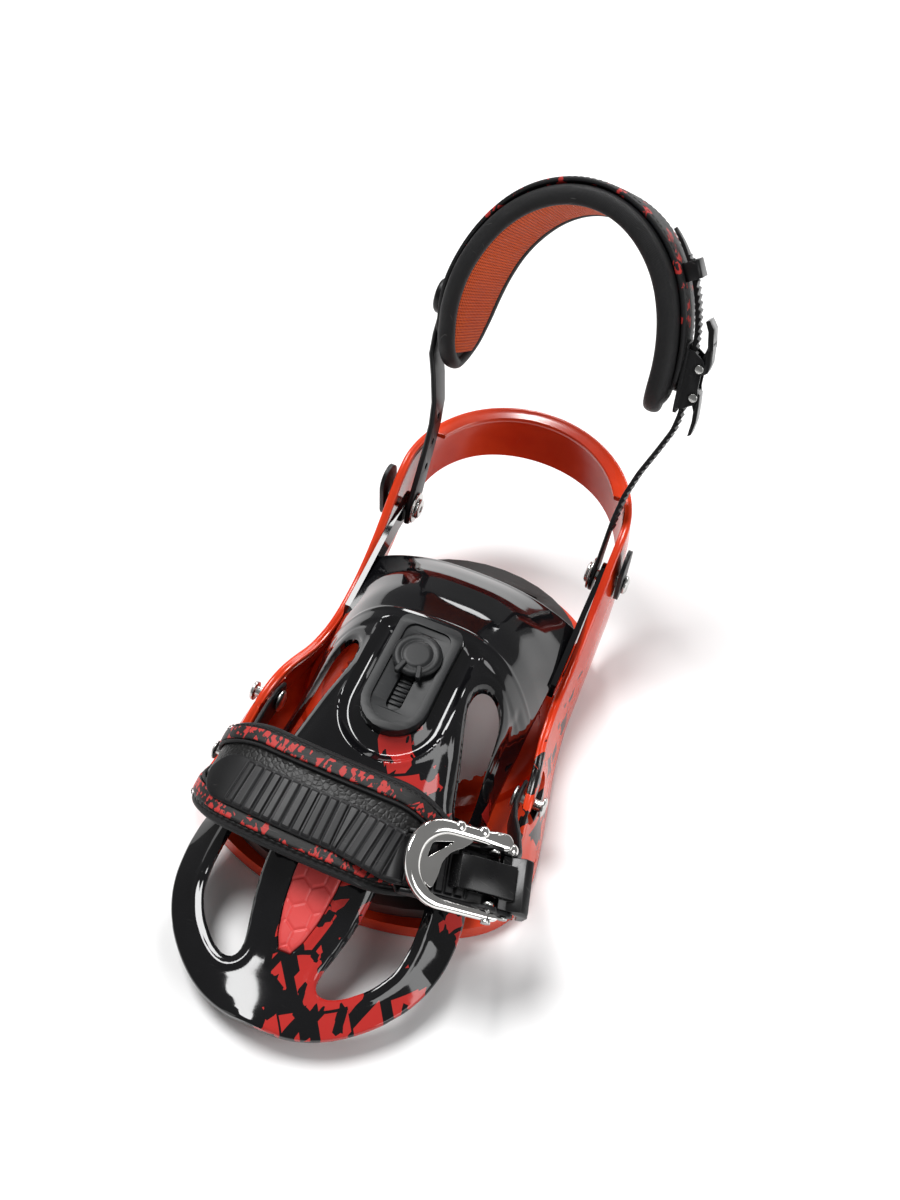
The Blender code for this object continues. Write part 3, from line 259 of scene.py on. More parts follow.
def oval(halfX, halfY, radius):
    # a rectangle whose corners are quarter circles
    turn = np.radians(np.linspace(0.0, 90.0, 9))
    quarter = np.array([halfX, halfY]) - radius + radius * np.column_stack([np.cos(turn), np.sin(turn)])
    left = quarter[::-1] * np.array([-1.0, 1.0])
    top = np.concatenate([quarter, left])
    return np.concatenate([top, -top])


def distanceTo(outline, x, y):
    # nearest distance to the outline's sides, less than zero inside it
    a = np.asarray(outline, float)
    b = np.roll(a, -1, 0)
    p = np.column_stack([np.ravel(x), np.ravel(y)])
    best = np.full(len(p), 1e9)
    inside = np.zeros(len(p), bool)
    for start, end in zip(a, b):
        run = end - start
        share = np.clip(((p - start) @ run) / max(run @ run, 1e-9), 0.0, 1.0)
        best = np.minimum(best, np.linalg.norm(p - start - share[:, None] * run, axis=1))
        crosses = (start[1] > p[:, 1]) != (end[1] > p[:, 1])
        level = start[0] + (p[:, 1] - start[1]) * run[0] / (run[1] if abs(run[1]) > 1e-9 else 1e-9)
        inside ^= crosses & (p[:, 0] < level)
    return np.where(inside, -best, best).reshape(np.shape(x))


def newGroup(name, inputs, outputs):
    tree = bpy.data.node_groups.new(name, "ShaderNodeTree")
    for label, kind, value in inputs:
        socket = tree.interface.new_socket(label, in_out="INPUT", socket_type=kind)
        if value is not None:
            socket.default_value = value
    for label, kind in outputs:
        tree.interface.new_socket(label, in_out="OUTPUT", socket_type=kind)
    return tree, tree.nodes.new("NodeGroupInput"), tree.nodes.new("NodeGroupOutput")


def node(tree, kind, **settings):
    made = tree.nodes.new("ShaderNode" + kind)
    for key, value in settings.items():
        setattr(made, key, value)
    return made


def maths(tree, operation, a, b=None):
    made = node(tree, "Math", operation=operation)
    for index, value in enumerate((a, b)):
        if isinstance(value, (int, float)):
            made.inputs[index].default_value = value
        elif value is not None:
            tree.links.new(value, made.inputs[index])
    return made.outputs[0]


def noise(tree, vector, scale, detail=4.0, rough=0.55):
    made = node(tree, "TexNoise")
    tree.links.new(vector, made.inputs["Vector"])
    if isinstance(scale, (int, float)):
        made.inputs["Scale"].default_value = scale
    else:
        tree.links.new(scale, made.inputs["Scale"])
    made.inputs["Detail"].default_value = detail
    made.inputs["Roughness"].default_value = rough
    return made.outputs["Fac"]


def spread(tree, value, low, high, toLow=0.0, toHigh=1.0):
    made = node(tree, "MapRange")
    tree.links.new(value, made.inputs["Value"])
    for label, number in (("From Min", low), ("From Max", high), ("To Min", toLow), ("To Max", toHigh)):
        made.inputs[label].default_value = number
    return made.outputs["Result"]


def makeWearGroup():
    # broad cloudy tone, fine grain and thin scratches, each as a value from 0 to 1
    inputs = [("Vector", "NodeSocketVector", None), ("Grain", "NodeSocketFloat", 900.0)]
    outputs = [(label, "NodeSocketFloat") for label in ("Tone", "Grain", "Scratch")]
    tree, start, end = newGroup("surfaceWear", inputs, outputs)
    vector = start.outputs["Vector"]
    tree.links.new(noise(tree, vector, 26.0, 5.0), end.inputs["Tone"])
    tree.links.new(noise(tree, vector, start.outputs["Grain"], 3.0, 0.6), end.inputs["Grain"])
    stretchMap = node(tree, "Mapping")
    stretchMap.inputs["Rotation"].default_value = (0.4, 0.3, 0.9)
    stretchMap.inputs["Scale"].default_value = (1.0, 24.0, 1.0)
    tree.links.new(vector, stretchMap.inputs["Vector"])
    lines = noise(tree, stretchMap.outputs["Vector"], 90.0, 2.0)
    tree.links.new(spread(tree, lines, 0.70, 0.78), end.inputs["Scratch"])
    return tree


def makeShardGroup():
    # slanted square cells, each shown where its random number passes the threshold, broken by smaller cells
    inputs = [("Vector", "NodeSocketVector", None), ("Scale", "NodeSocketFloat", 90.0),
              ("Amount", "NodeSocketFloat", 0.4)]
    tree, start, end = newGroup("shards", inputs, [("Mask", "NodeSocketFloat")])
    skew = node(tree, "Mapping")
    skew.inputs["Rotation"].default_value = (0.25, 0.15, 0.62)
    skew.inputs["Scale"].default_value = (1.0, 0.62, 0.8)
    tree.links.new(start.outputs["Vector"], skew.inputs["Vector"])
    cells = []
    for factor, randomness in ((1.0, 0.75), (2.3, 0.9)):
        cell = node(tree, "TexVoronoi", distance="CHEBYCHEV")
        tree.links.new(skew.outputs["Vector"], cell.inputs["Vector"])
        tree.links.new(maths(tree, "MULTIPLY", start.outputs["Scale"], factor), cell.inputs["Scale"])
        cell.inputs["Randomness"].default_value = randomness
        split = node(tree, "SeparateColor")
        tree.links.new(cell.outputs["Color"], split.inputs["Color"])
        cells.append((split.outputs["Red"], cell.outputs["Distance"]))
    big = maths(tree, "LESS_THAN", cells[0][0], start.outputs["Amount"])
    near = maths(tree, "LESS_THAN", cells[0][1], 0.43)
    broken = maths(tree, "GREATER_THAN", cells[1][0], 0.30)
    mask = maths(tree, "MULTIPLY", maths(tree, "MULTIPLY", big, near), broken)
    tree.links.new(mask, end.inputs["Mask"])
    return tree


def makeWeaveGroup():
    # sine of both directions multiplied gives a diamond mesh; its size is in threads per metre
    inputs = [("Vector", "NodeSocketVector", None), ("Threads", "NodeSocketFloat", 500.0)]
    tree, start, end = newGroup("weave", inputs, [("Height", "NodeSocketFloat"), ("Hole", "NodeSocketFloat")])
    split = node(tree, "SeparateXYZ")
    tree.links.new(start.outputs["Vector"], split.inputs["Vector"])
    plus = maths(tree, "ADD", split.outputs["X"], split.outputs["Y"])
    minus = maths(tree, "SUBTRACT", split.outputs["X"], split.outputs["Y"])
    turns = maths(tree, "MULTIPLY", start.outputs["Threads"], 2.0 * math.pi)
    waves = [maths(tree, "SINE", maths(tree, "MULTIPLY", side, turns)) for side in (plus, minus)]
    height = maths(tree, "MULTIPLY", waves[0], waves[1])
    tree.links.new(height, end.inputs["Height"])
    tree.links.new(spread(tree, height, -0.9, 0.1, 1.0, 0.0), end.inputs["Hole"])
    return tree


wearGroup, shardGroup, weaveGroup = makeWearGroup(), makeShardGroup(), makeWeaveGroup()


def useGroup(tree, group, vector, **values):
    made = node(tree, "Group", node_tree=group)
    tree.links.new(vector, made.inputs["Vector"])
    for label, value in values.items():
        made.inputs[label].default_value = value
    return made


def blendColour(tree, factor, first, second):
    made = node(tree, "Mix", data_type="RGBA")
    tree.links.new(factor, made.inputs[0])
    for index, value in ((6, first), (7, second)):
        if isinstance(value, tuple):
            made.inputs[index].default_value = (*value, 1.0)
        else:
            tree.links.new(value, made.inputs[index])
    return made.outputs[2]


def makeMaterial(name, dark, light, rough, grain, bump, metal=0.0, scratch=0.15, shards=None, threads=0.0,
                 threadDepth=0.0, hole=None, leather=0.0, band=None, depth=0.0002, sheen=0.5):
    # colour runs from dark to light with the cloudy tone; roughness runs between its pair the same way
    made = bpy.data.materials.new(name)
    made.use_nodes = True
    tree = made.node_tree
    shader = tree.nodes["Principled BSDF"]
    coordinates = node(tree, "TexCoord")
    vector = coordinates.outputs["Object"]
    wear = useGroup(tree, wearGroup, vector, Grain=grain)
    colour = blendColour(tree, spread(tree, wear.outputs["Tone"], 0.30, 0.70), dark, light)
    height = maths(tree, "MULTIPLY", wear.outputs["Grain"], 0.6)
    if shards:
        group = useGroup(tree, shardGroup, vector, Scale=shards["scale"], Amount=shards["amount"])
        split = node(tree, "SeparateXYZ")
        tree.links.new(vector, split.inputs["Vector"])
        mask = group.outputs["Mask"]
        for axis, low, high in shards["where"]:
            mask = maths(tree, "MULTIPLY", mask, spread(tree, split.outputs[axis], low, high))
        patches = spread(tree, noise(tree, vector, shards["patch"], 1.0), *shards.get("between", (0.3, 0.6)))
        ragged = maths(tree, "GREATER_THAN", maths(tree, "MULTIPLY", mask, patches), 0.45)
        colour = blendColour(tree, ragged, colour, shards["colour"])
    if threads:
        weave = useGroup(tree, weaveGroup, coordinates.outputs["UV"], Threads=threads)
        height = maths(tree, "ADD", height, maths(tree, "MULTIPLY", weave.outputs["Height"], threadDepth))
        if hole:
            colour = blendColour(tree, weave.outputs["Hole"], colour, hole)
    if leather:
        cell = node(tree, "TexVoronoi", feature="DISTANCE_TO_EDGE")
        tree.links.new(vector, cell.inputs["Vector"])
        cell.inputs["Scale"].default_value = 420.0
        pebble = spread(tree, cell.outputs["Distance"], 0.0, 0.25)
        height = maths(tree, "ADD", height, maths(tree, "MULTIPLY", pebble, leather))
    if band:
        split = node(tree, "SeparateXYZ")
        tree.links.new(vector, split.inputs["Vector"])
        edge = spread(tree, split.outputs[band["axis"]], band["low"], band["high"])
        colour = blendColour(tree, edge, colour, band["colour"])
    marks = maths(tree, "MULTIPLY", wear.outputs["Scratch"], scratch)
    colour = blendColour(tree, marks, colour, (0.45, 0.44, 0.42))
    tree.links.new(colour, shader.inputs["Base Color"])
    roughness = spread(tree, wear.outputs["Tone"], 0.25, 0.75, *rough)
    roughness = maths(tree, "ADD", roughness, maths(tree, "MULTIPLY", marks, 0.2))
    tree.links.new(roughness, shader.inputs["Roughness"])
    shader.inputs["Metallic"].default_value = metal
    shader.inputs["Specular IOR Level"].default_value = sheen
    relief = node(tree, "Bump")
    relief.inputs["Strength"].default_value = bump
    relief.inputs["Distance"].default_value = depth
    tree.links.new(height, relief.inputs["Height"])
    tree.links.new(relief.outputs["Normal"], shader.inputs["Normal"])
    return made


redInk = (0.47, 0.026, 0.022)
# each finish: darkest and lightest colour, roughness pair, grain per metre, bump, and what else it has
looks = {}
for look, dark, light, rough, grain, bump, more in (
    ("nylonRed", (0.60, 0.030, 0.006), (0.78, 0.055, 0.010), (0.14, 0.24), 700.0, 0.04, {
        "scratch": 0.04, "shards": {"scale": 95.0, "amount": 0.72, "colour": (0.006, 0.005, 0.005),
                                    "between": (0.2, 0.5), "patch": 22.0,
                                    "where": [("X", 0.058, 0.062), ("Y", 0.09, 0.02), ("Z", 0.006, 0.016)]}}),
    ("shellBlack", (0.0025, 0.0025, 0.003), (0.006, 0.006, 0.007), (0.04, 0.09), 500.0, 0.04, {
        "scratch": 0.04, "shards": {"scale": 88.0, "amount": 0.80, "colour": redInk, "patch": 24.0,
                                    "where": [("X", -0.028, 0.012), ("Y", -0.045, -0.062)]}}),
    ("buckleBlack", (0.003, 0.003, 0.0035), (0.008, 0.008, 0.008), (0.22, 0.38), 1400.0, 0.2, {
        "sheen": 0.35}),
    ("charcoal", (0.005, 0.0055, 0.006), (0.010, 0.011, 0.012), (0.36, 0.50), 1800.0, 0.3, {"sheen": 0.3}),
    ("strapPlastic", (0.003, 0.003, 0.0035), (0.009, 0.009, 0.010), (0.34, 0.50), 1600.0, 0.3, {
        "sheen": 0.3}),
    ("leatherBlack", (0.002, 0.002, 0.002), (0.006, 0.0055, 0.0055), (0.36, 0.50), 700.0, 0.7, {
        "sheen": 0.35, "leather": 0.8}),
    ("bandBlack", (0.002, 0.002, 0.002), (0.006, 0.0055, 0.0055), (0.34, 0.48), 900.0, 0.5, {
        "sheen": 0.35, "threads": 1200.0, "threadDepth": 0.3,
        "shards": {"scale": 330.0, "amount": 0.72, "colour": redInk, "patch": 60.0, "between": (0.1, 0.5),
                   "where": [("X", 0.06, 0.045)]}}),
    ("bindingBlack", (0.0025, 0.0025, 0.003), (0.007, 0.007, 0.008), (0.44, 0.60), 900.0, 0.6, {
        "sheen": 0.3, "threads": 900.0, "threadDepth": 0.6}),
    ("coverBlack", (0.0025, 0.0025, 0.003), (0.007, 0.007, 0.008), (0.42, 0.58), 900.0, 0.5, {
        "sheen": 0.3, "threads": 1100.0, "threadDepth": 0.4,
        "shards": {"scale": 210.0, "amount": 0.42, "colour": redInk, "patch": 70.0,
                   "where": [("Z", 0.17, 0.19)]}}),
    ("liningOrange", (0.58, 0.072, 0.012), (0.74, 0.115, 0.022), (0.55, 0.75), 600.0, 0.9, {
        "threads": 330.0, "threadDepth": 1.0, "hole": (0.22, 0.016, 0.005), "depth": 0.0005, "sheen": 0.15}),
    ("rubberDark", (0.012, 0.010, 0.010), (0.026, 0.022, 0.021), (0.45, 0.65), 1200.0, 0.5, {
        "band": {"axis": "Y", "low": -0.108, "high": -0.118, "colour": (0.10, 0.012, 0.008)}}),
    ("rubberRed", (0.62, 0.050, 0.048), (0.72, 0.075, 0.070), (0.30, 0.45), 1500.0, 0.3, {}),
    ("steel", (0.48, 0.48, 0.47), (0.68, 0.68, 0.66), (0.18, 0.34), 1500.0, 0.2, {"metal": 1.0}),
    ("chrome", (0.72, 0.71, 0.69), (0.86, 0.85, 0.83), (0.05, 0.12), 900.0, 0.04, {
        "metal": 1.0, "scratch": 0.25}),
):
    looks[look] = makeMaterial(look, dark, light, rough, grain, bump, **more)


def finishPiece(made, look, body, slotName, *nodes):
    # its finish, the body that carries it and the plain pieces that it stands for
    made.data.materials.clear()
    made.data.materials.append(looks[look])
    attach(made, body)
    if nodes:
        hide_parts(*nodes)
    return made


print("materials ready")


tray = {
    "topX": [(-92, 77), (-80, 75), (-62, 72), (-45, 69.5), (-28, 67), (-13, 64.5), (10, 62.6), (60, 62.2),
        (90, 62.5)],
    "lowX": [(-92, 80), (-80, 83), (-62, 82), (-45, 79), (-28, 75.5), (-13, 72.5), (0, 70), (25, 67),
        (60, 66), (90, 65.5)],
    "topZ": [(-92, 9), (-84, 15), (-75, 21.5), (-62, 32), (-50, 39), (-38, 41), (-26, 38.5), (-10, 33.5),
        (5, 32.5), (20, 34.5), (35, 39), (48, 46.5), (60, 56), (70, 66), (78, 74), (85, 79), (92, 82)],
    "lowZ": [(-92, 0), (25, 0), (45, 3), (60, 7), (75, 12), (88, 18), (96, 26), (104, 37), (112, 46),
        (120, 52), (130, 56.5), (140, 60), (152, 62)],
    "hoopY": 90.0, "wall": 3.6, "teeth": 48, "holeRadius": 50.0, "pivotY": 86.0, "pivotZ": 54.0,
    "toeY": -49.0, "toeZ": 31.0,
}


def trayEdges():
    # rails read from the tables, then a half ellipse round the heel, then the other rail mirrored
    y = np.linspace(-92.0, 87.0, 96)
    top = np.column_stack([readTable(y, tray["topX"], 6), y, readTable(y, tray["topZ"], 5)])
    low = np.column_stack([readTable(y, tray["lowX"], 6), y, readTable(y, tray["lowZ"], 4)])
    turn = np.radians(np.linspace(0.0, 180.0, 91))
    topY, lowY = tray["hoopY"] + 59.0 * np.sin(turn), tray["hoopY"] + 60.5 * np.sin(turn)
    hoopTop = np.column_stack([62.5 * np.cos(turn), topY, 82.0 + 13.0 * np.sin(turn)])
    hoopLow = np.column_stack([65.5 * np.cos(turn), lowY, readTable(lowY, tray["lowZ"], 4)])
    mirror = np.array([-1.0, 1.0, 1.0])
    both = []
    for rail, hoop in ((top, hoopTop), (low, hoopLow)):
        both.append(rounder(np.concatenate([rail, hoop, rail[::-1] * mirror]), 6))
    return both


def planNormal(edge):
    # the plan tangent turned left, which points into the U
    step = np.gradient(edge[:, :2], axis=0)
    return unit(np.column_stack([-step[:, 1], step[:, 0], np.zeros(len(edge))]))


def boltBore(name, side):
    # a cylinder of radius 3.3 along the ankle bolt's axis
    at = place((side * 40.0, tray["pivotY"], tray["pivotZ"]), (0, 1, 0), (side, 0, 0))
    return turned(name, [(3.3, 35.0), (3.3, 0.0)], at, 32)


def makeBase():
    # a closed wall section carried round the U, joined to a floor and a turned ring, then cut
    top, low = trayEdges()
    topIn, lowIn = planNormal(top), planNormal(low)
    up = np.array([0.0, 0.0, 1.0])
    notch = smoothStep((top[:, 1] - 113.5) / 2.5)[:, None]
    wide = 4.5 + 5.2 * notch
    tall = np.maximum(top[:, 2:] - low[:, 2:], 1.0)
    lip = np.minimum(3.4, tall * 0.3)
    middle = 0.45 * top + 0.55 * low - 0.8 * topIn
    # a round bead of radius 1.7 along the outside of the rim, then a flat flange with a round inner edge
    loop = [low, 0.75 * low + 0.25 * middle - 0.3 * topIn, 0.5 * low + 0.5 * middle - 0.35 * topIn,
            middle, 0.5 * middle + 0.5 * top - 0.45 * topIn - up * 1.6, top - up * 3.0]
    for turn in np.radians([200, 170, 140, 110, 80, 55]):
        loop.append(top + topIn * (1.7 + 1.7 * math.cos(turn)) + up * (1.7 * math.sin(turn) - 1.7))
    loop += [top + topIn * (wide * 0.5 + 1.2) - up * 0.7, top + topIn * (wide - 1.1) - up * 0.6]
    for turn in np.radians([60, 20, -20]):
        loop.append(top + topIn * (wide - 1.1 + 1.1 * math.cos(turn)) + up * (1.1 * math.sin(turn) - 1.6))
    loop += [top + topIn * (wide - 0.8) - up * lip, top + topIn * (tray["wall"] + 0.8) - up * (lip + 0.3),
             top + topIn * tray["wall"] - up * (lip + 1.3), 0.5 * top + 0.5 * middle + topIn * tray["wall"],
             middle + topIn * tray["wall"], low + lowIn * tray["wall"]]
    wall = loft("baseBody", np.stack(loop, axis=1), sharp=30)
    y = np.linspace(-80.0, 62.0, 60)
    right = np.column_stack([readTable(y, tray["lowX"], 6) - 1.6, y])
    turn = np.radians(np.linspace(-180.0, 0.0, 81))
    front = np.column_stack([81.0 * np.cos(turn), -84.0 + 42.0 * np.sin(turn)])
    turn = np.radians(np.linspace(0.0, 180.0, 81))
    back = np.column_stack([64.4 * np.cos(turn), 64.0 + 44.0 * np.sin(turn)])
    outline = np.concatenate([front, right, back, right[::-1] * np.array([-1.0, 1.0])])
    floor = slab("floorBlock", outline, 0.0, 8.0)
    ringProfile = [(59.0, 12.4), (60.4, 12.2), (61.6, 11.9), (64.0, 11.2), (66.0, 8.2), (69.0, 0.4)]
    ring = turned("ringBlock", ringProfile, steps=160)
    seat = turned("seatCutter", [(56.0, 30.0), (56.0, 9.8)], steps=160)
    teeth = np.arange(tray["teeth"] * 4)
    radius = tray["holeRadius"] - 1.6 * np.array([0.0, 0.0, 1.0, 1.0])[teeth % 4]
    turn = 2.0 * math.pi * teeth / len(teeth)
    hole = slab("holeCutter", np.column_stack([radius * np.cos(turn), radius * np.sin(turn)]), -5.0, 30.0)
    cutters = [seat, hole]
    for side in (1, -1):
        slotAt = place((side * 68.0, tray["toeY"] + 4.0, tray["toeZ"]), (0, 1, 0), (side, 0, 0))
        cutters.append(slab("slotCutter%d" % side, oval(15.0, 3.5, 3.49), -12.0, 12.0, slotAt))
        cutters.append(boltBore("boreCutter%d" % side, side))
        for label, x, y in (("toe", 30, -88), ("heel", 32, 74)):
            outline = oval(17, 8.5, 4) + np.array([side * x, y])
            cutters.append(slab("pocket%s%d" % (label, side), outline, -2.0, 4.5))
    booleans(wall, [floor, ring], cutters)
    addBevel(wall, 0.45, 2, 40)
    return finishPiece(wall, "nylonRed", "base", "nylon_red", "base_tray")


makeBase()
print("base built")


shell = {
    "middle": [(-194, 18), (-180, 21), (-165, 25), (-150, 32), (-140, 38), (-120, 48.5), (-100, 58.5),
        (-80, 68.5), (-60, 77), (-37, 82.5), (-15, 84.5), (5, 82.5), (25, 76.5), (40, 68), (50, 61)],
    "edge": [(-194, 14), (-180, 15), (-165, 16), (-140, 17), (-120, 20), (-100, 22), (-80, 24.5), (-60, 27),
        (-37, 30), (-15, 33.5), (5, 37), (25, 42), (50, 47)],
    "wide": [(-193.5, 12), (-192.6, 17), (-190.5, 24), (-187, 31), (-180, 40.5), (-172, 48.8), (-165, 54.5),
        (-155, 60), (-145, 63.5), (-132, 65.2), (-120, 65), (-108, 63.2), (-96, 60.5), (-82, 57.4),
        (-68, 55.2), (-55, 54.4), (-28, 54.8), (0, 56), (20, 56.2), (50, 55.8)],
    "curve": [(-190, 2.0), (-140, 2.2), (-100, 2.6), (-60, 3.2), (0, 3.4), (50, 2.4)],
    "upperOpening": [(33.5, -27), (38, -25.5), (42, -28), (44, -34), (45.2, -44), (46.3, -56), (47.6, -68),
        (48.4, -79), (46.6, -85), (43.4, -86), (40.8, -80), (38, -70), (34.6, -60), (31, -50), (28.6, -41),
        (29.4, -32.5)],
    "tipOpening": [(30, -107), (39, -106), (44.5, -113), (46.8, -124), (47.6, -138), (46, -150),
        (39.5, -161), (30.5, -169.5), (23, -173.6), (18.3, -172.6), (17.2, -166.5), (20.5, -155),
        (23.4, -144), (25, -131), (25.4, -118), (26.4, -110.5)],
    "arm": [(62, 56), (50, 52.5), (34, 47.5), (14, 42), (12, 35), (34, 37), (52, 40), (70, 44.5)],
    "thick": 3.4, "rim": 1.7, "openingRound": 2.2, "plateY": -44.0, "plateTilt": 11.0,
}
insertWide = [(-163, 2.6), (-158, 5.6), (-148, 8.4), (-136, 10), (-124, 10.2), (-112, 9.4)]


def shellTop(x, y, least=0.0):
    # middle - (middle - edge) * |x / wide|^curve, less 1.1 past the smooth band; wide is never under least
    x, y = np.asarray(x, float), np.asarray(y, float)
    middle, edge = readTable(y, shell["middle"], 4), readTable(y, shell["edge"], 4)
    share = np.minimum(1.0, np.abs(x / np.maximum(readTable(y, shell["wide"]), least)))
    step = np.clip((-16.5 - y - 6.0 * (np.abs(x) / 54.0) ** 2) / 3.0, 0.0, 1.0)
    return middle - (middle - edge) * share ** readTable(y, shell["curve"], 4) - 1.1 * smoothStep(step)


def dOutline(wide, top, bottom):
    # a half circle at the tip end, straight sides, two round corners at the hinge end
    turn = np.radians(np.linspace(180.0, 360.0, 25))
    low = np.column_stack([wide * np.cos(turn), bottom + wide + wide * np.sin(turn)])
    corner = np.radians(np.linspace(0.0, 90.0, 9))
    right = np.column_stack([wide - 5 + 5 * np.cos(corner), top - 5 + 5 * np.sin(corner)])
    return np.concatenate([low, right, right[::-1] * np.array([-1.0, 1.0])])


def smoothRing(points, count, times):
    # the closed line read evenly, then its corners eased
    points = np.asarray(points, float)
    ring = evenly(np.concatenate([points, points[:1]]), count + 1)[0]
    return rounder(ring[:-1], times, True)


def openings(side):
    # both openings of one side, their corners eased
    mirror = np.array([side, 1.0])
    return [smoothRing(np.array(shell[name]) * mirror, 120, 12) for name in ("upperOpening", "tipOpening")]


def shellRelief(x, y):
    # a gully and a lip round the plate, a ridge that gathers them towards the tip, and lips round the insert
    plate = distanceTo(dOutline(15.5, 29.0, -31.0) + np.array([0.0, shell["plateY"]]), x, y)
    inBand = smoothStep((-15.5 - y) / 5.0)
    relief = (-2.6 * bump1d(plate - 4.6, 3.2) + 0.9 * bump1d(plate - 9.8, 1.2)) * inBand
    spine = bump1d(np.abs(x) - 3.2 * smoothStep((-80.0 - y) / 22.0), 1.5)
    relief += 0.9 * spine * smoothStep((-79.0 - y) / 5.0) * smoothStep((y + 110.0) / 6.0)
    hexSide = np.abs(x) - readTable(y, insertWide) - 1.6
    window = smoothStep((-108.0 - y) / 4.0) * smoothStep((y + 172.0) / 8.0)
    relief += 0.9 * bump1d(hexSide, 1.2) * window
    relief += 0.55 * bump1d(y + 11.5, 0.9)
    return relief


def sideChamfer(x, y, wide):
    # both faces drop 1.9 along each outer side below a crisp line
    inBand = smoothStep((-15.5 - y) / 5.0)
    return -1.9 * smoothStep((np.abs(x) - (wide - 8.5)) / 2.2) * smoothStep((y + 105.0) / 10.0) * inBand


def shellOutline():
    # the right half of the plan outline, its corners eased, as (half width, y) from the hinge end to the tip
    table = np.array(shell["wide"])[::-1]
    ring = np.concatenate([np.column_stack([table[:, 1], table[:, 0]]), [(0.0, -194.6)]])
    ring = np.concatenate([ring, ring[-2::-1] * np.array([-1.0, 1.0])])
    line = rounder(evenly(ring, 900)[0], 260)
    right = line[:450]
    order = np.argsort(right[:, 1])
    return right[order, 1], np.maximum(right[order, 0], 0.0)


def makeShell():
    outlineY, outlineX = shellOutline()
    reach = -150.0 - outlineY[0] - 0.02
    tipRows = -150.0 - reach * np.sin(np.linspace(0.01, 0.5, 70) * math.pi)
    rows = np.concatenate([np.linspace(50.0, -150.0, 255), tipRows])
    wide = np.interp(rows, outlineY, outlineX)
    outer = shellFace(rows, wide, 183, True)
    inner = shellFace(rows, wide, 63, False)
    # each row is one loop: out along the top face and back along the underside
    rings = np.concatenate([outer, inner[:, ::-1]], axis=1)
    made = loft("highbackShell", rings, sharp=32, ends="face")
    return cutShell(made)


def edgeDrop(inset, radius):
    # r - sqrt(r^2 - (r - inset)^2), the drop of a rounded edge at this distance in from its border
    inset = np.clip(inset, 0.0, radius)
    return radius - np.sqrt(np.maximum(radius ** 2 - (radius - inset) ** 2, 0.0))


def shellFace(rows, wide, columns, isTop):
    # one face of the shell; its distance along the normal grows from the rolled rim inwards
    share = np.sin(np.linspace(-0.5, 0.5, columns) * math.pi)
    x = wide[:, None] * share[None, :]
    y = np.broadcast_to(rows[:, None], x.shape)
    chamfer = sideChamfer(x, y, wide[:, None])
    inward = smoothStep((wide[:, None] - np.abs(x)) / 4.0)
    base = shellTop(x, y) + chamfer
    slopeX = (shellTop(x + 0.6, y, 52.0) - shellTop(x - 0.6, y, 52.0)) / 1.2
    slopeY = (shellTop(x, y + 0.6, 52.0) - shellTop(x, y - 0.6, 52.0)) / 1.2
    normal = unit(np.stack([-slopeX, -slopeY, np.ones(x.shape)], axis=2))
    # the rim rolls over: how far in from the border, as a circle of half the thickness
    along = np.minimum(y - rows[-1], rows[0] - y) + 0.3
    inset = np.minimum((wide[:, None] - np.abs(x)) * 1.25, along)
    roll = edgeDrop(inset, shell["rim"])
    if not isTop:
        return np.stack([x, y, base], axis=2) - normal * (shell["thick"] - roll)[:, :, None]
    lip = np.full(x.shape, 1e9)
    for side in (1, -1):
        for ring in openings(side):
            lip = np.minimum(lip, distanceTo(ring, x, y))
    raised = shellRelief(x, y) + 0.55 * bump1d(lip - 4.0, 1.2) * smoothStep((-18.0 - y) / 4.0)
    drop = edgeDrop(lip, shell["openingRound"])
    return np.stack([x, y, base + raised * inward], axis=2) - normal * (roll + drop * 0.75)[:, :, None]


def cutShell(made):
    # openings, the plate's seat, the insert's pocket and the bolt bores; the hinge arms are joined on
    cutters = []
    for side in (1, -1):
        for number, ring in enumerate(openings(side)):
            cutters.append(slab("opening%d%d" % (number, side), ring, -20.0, 120.0))
    cutters.append(slab("plateSeat", dOutline(15.85, 29.35, -31.35), -3.9, 20.0, plateFrame()))
    y = np.linspace(-163.6, -111.4, 60)
    wideInsert = readTable(y, insertWide, 1.5) + 0.5
    outline = np.concatenate([np.column_stack([wideInsert, y]), np.column_stack([-wideInsert, y])[::-1]])
    pocket = slab("insertPocket", outline, 0.0, 1.0)
    points = np.array([v.co for v in pocket.data.vertices])
    local = points * 1000.0 + np.array([3.0, -4.9, 0.0])
    floorZ = shellTop(local[:, 0] * 0.0, local[:, 1]) - 1.8
    local[:, 2] = np.where(local[:, 2] > 0.5, floorZ + 12.0, floorZ)
    pocket.data.vertices.foreach_set("co", toWorld(local).astype(np.float32).ravel())
    cutters.append(pocket)
    arms = []
    for side in (1, -1):
        eye = np.radians(np.linspace(-70.0, 130.0, 33))
        eyeEnd = np.column_stack([tray["pivotY"] + 7.5 * np.cos(eye), tray["pivotZ"] + 7.5 * np.sin(eye)])
        outline = np.concatenate([eyeEnd, shell["arm"]]) * np.array([1.0, side])
        at = place((side * 56.0, 0, 0), (0, 1, 0), (side, 0, 0))
        arms.append(slab("arm%d" % side, outline, -1.3, 1.5, at))
        cutters.append(boltBore("armBore%d" % side, side))
    booleans(made, arms, cutters, 38)
    return finishPiece(made, "shellBlack", "highback", "shell_black", "highback_shell")


def plateFrame():
    # X across, Z square to the plate, which is tilted about X on the shell's middle line
    tilt = math.radians(shell["plateTilt"])
    up = Vector((0.0, -math.sin(tilt), math.cos(tilt)))
    return place((0.0, shell["plateY"], float(shellTop(0.0, shell["plateY"]))), (1, 0, 0), up)


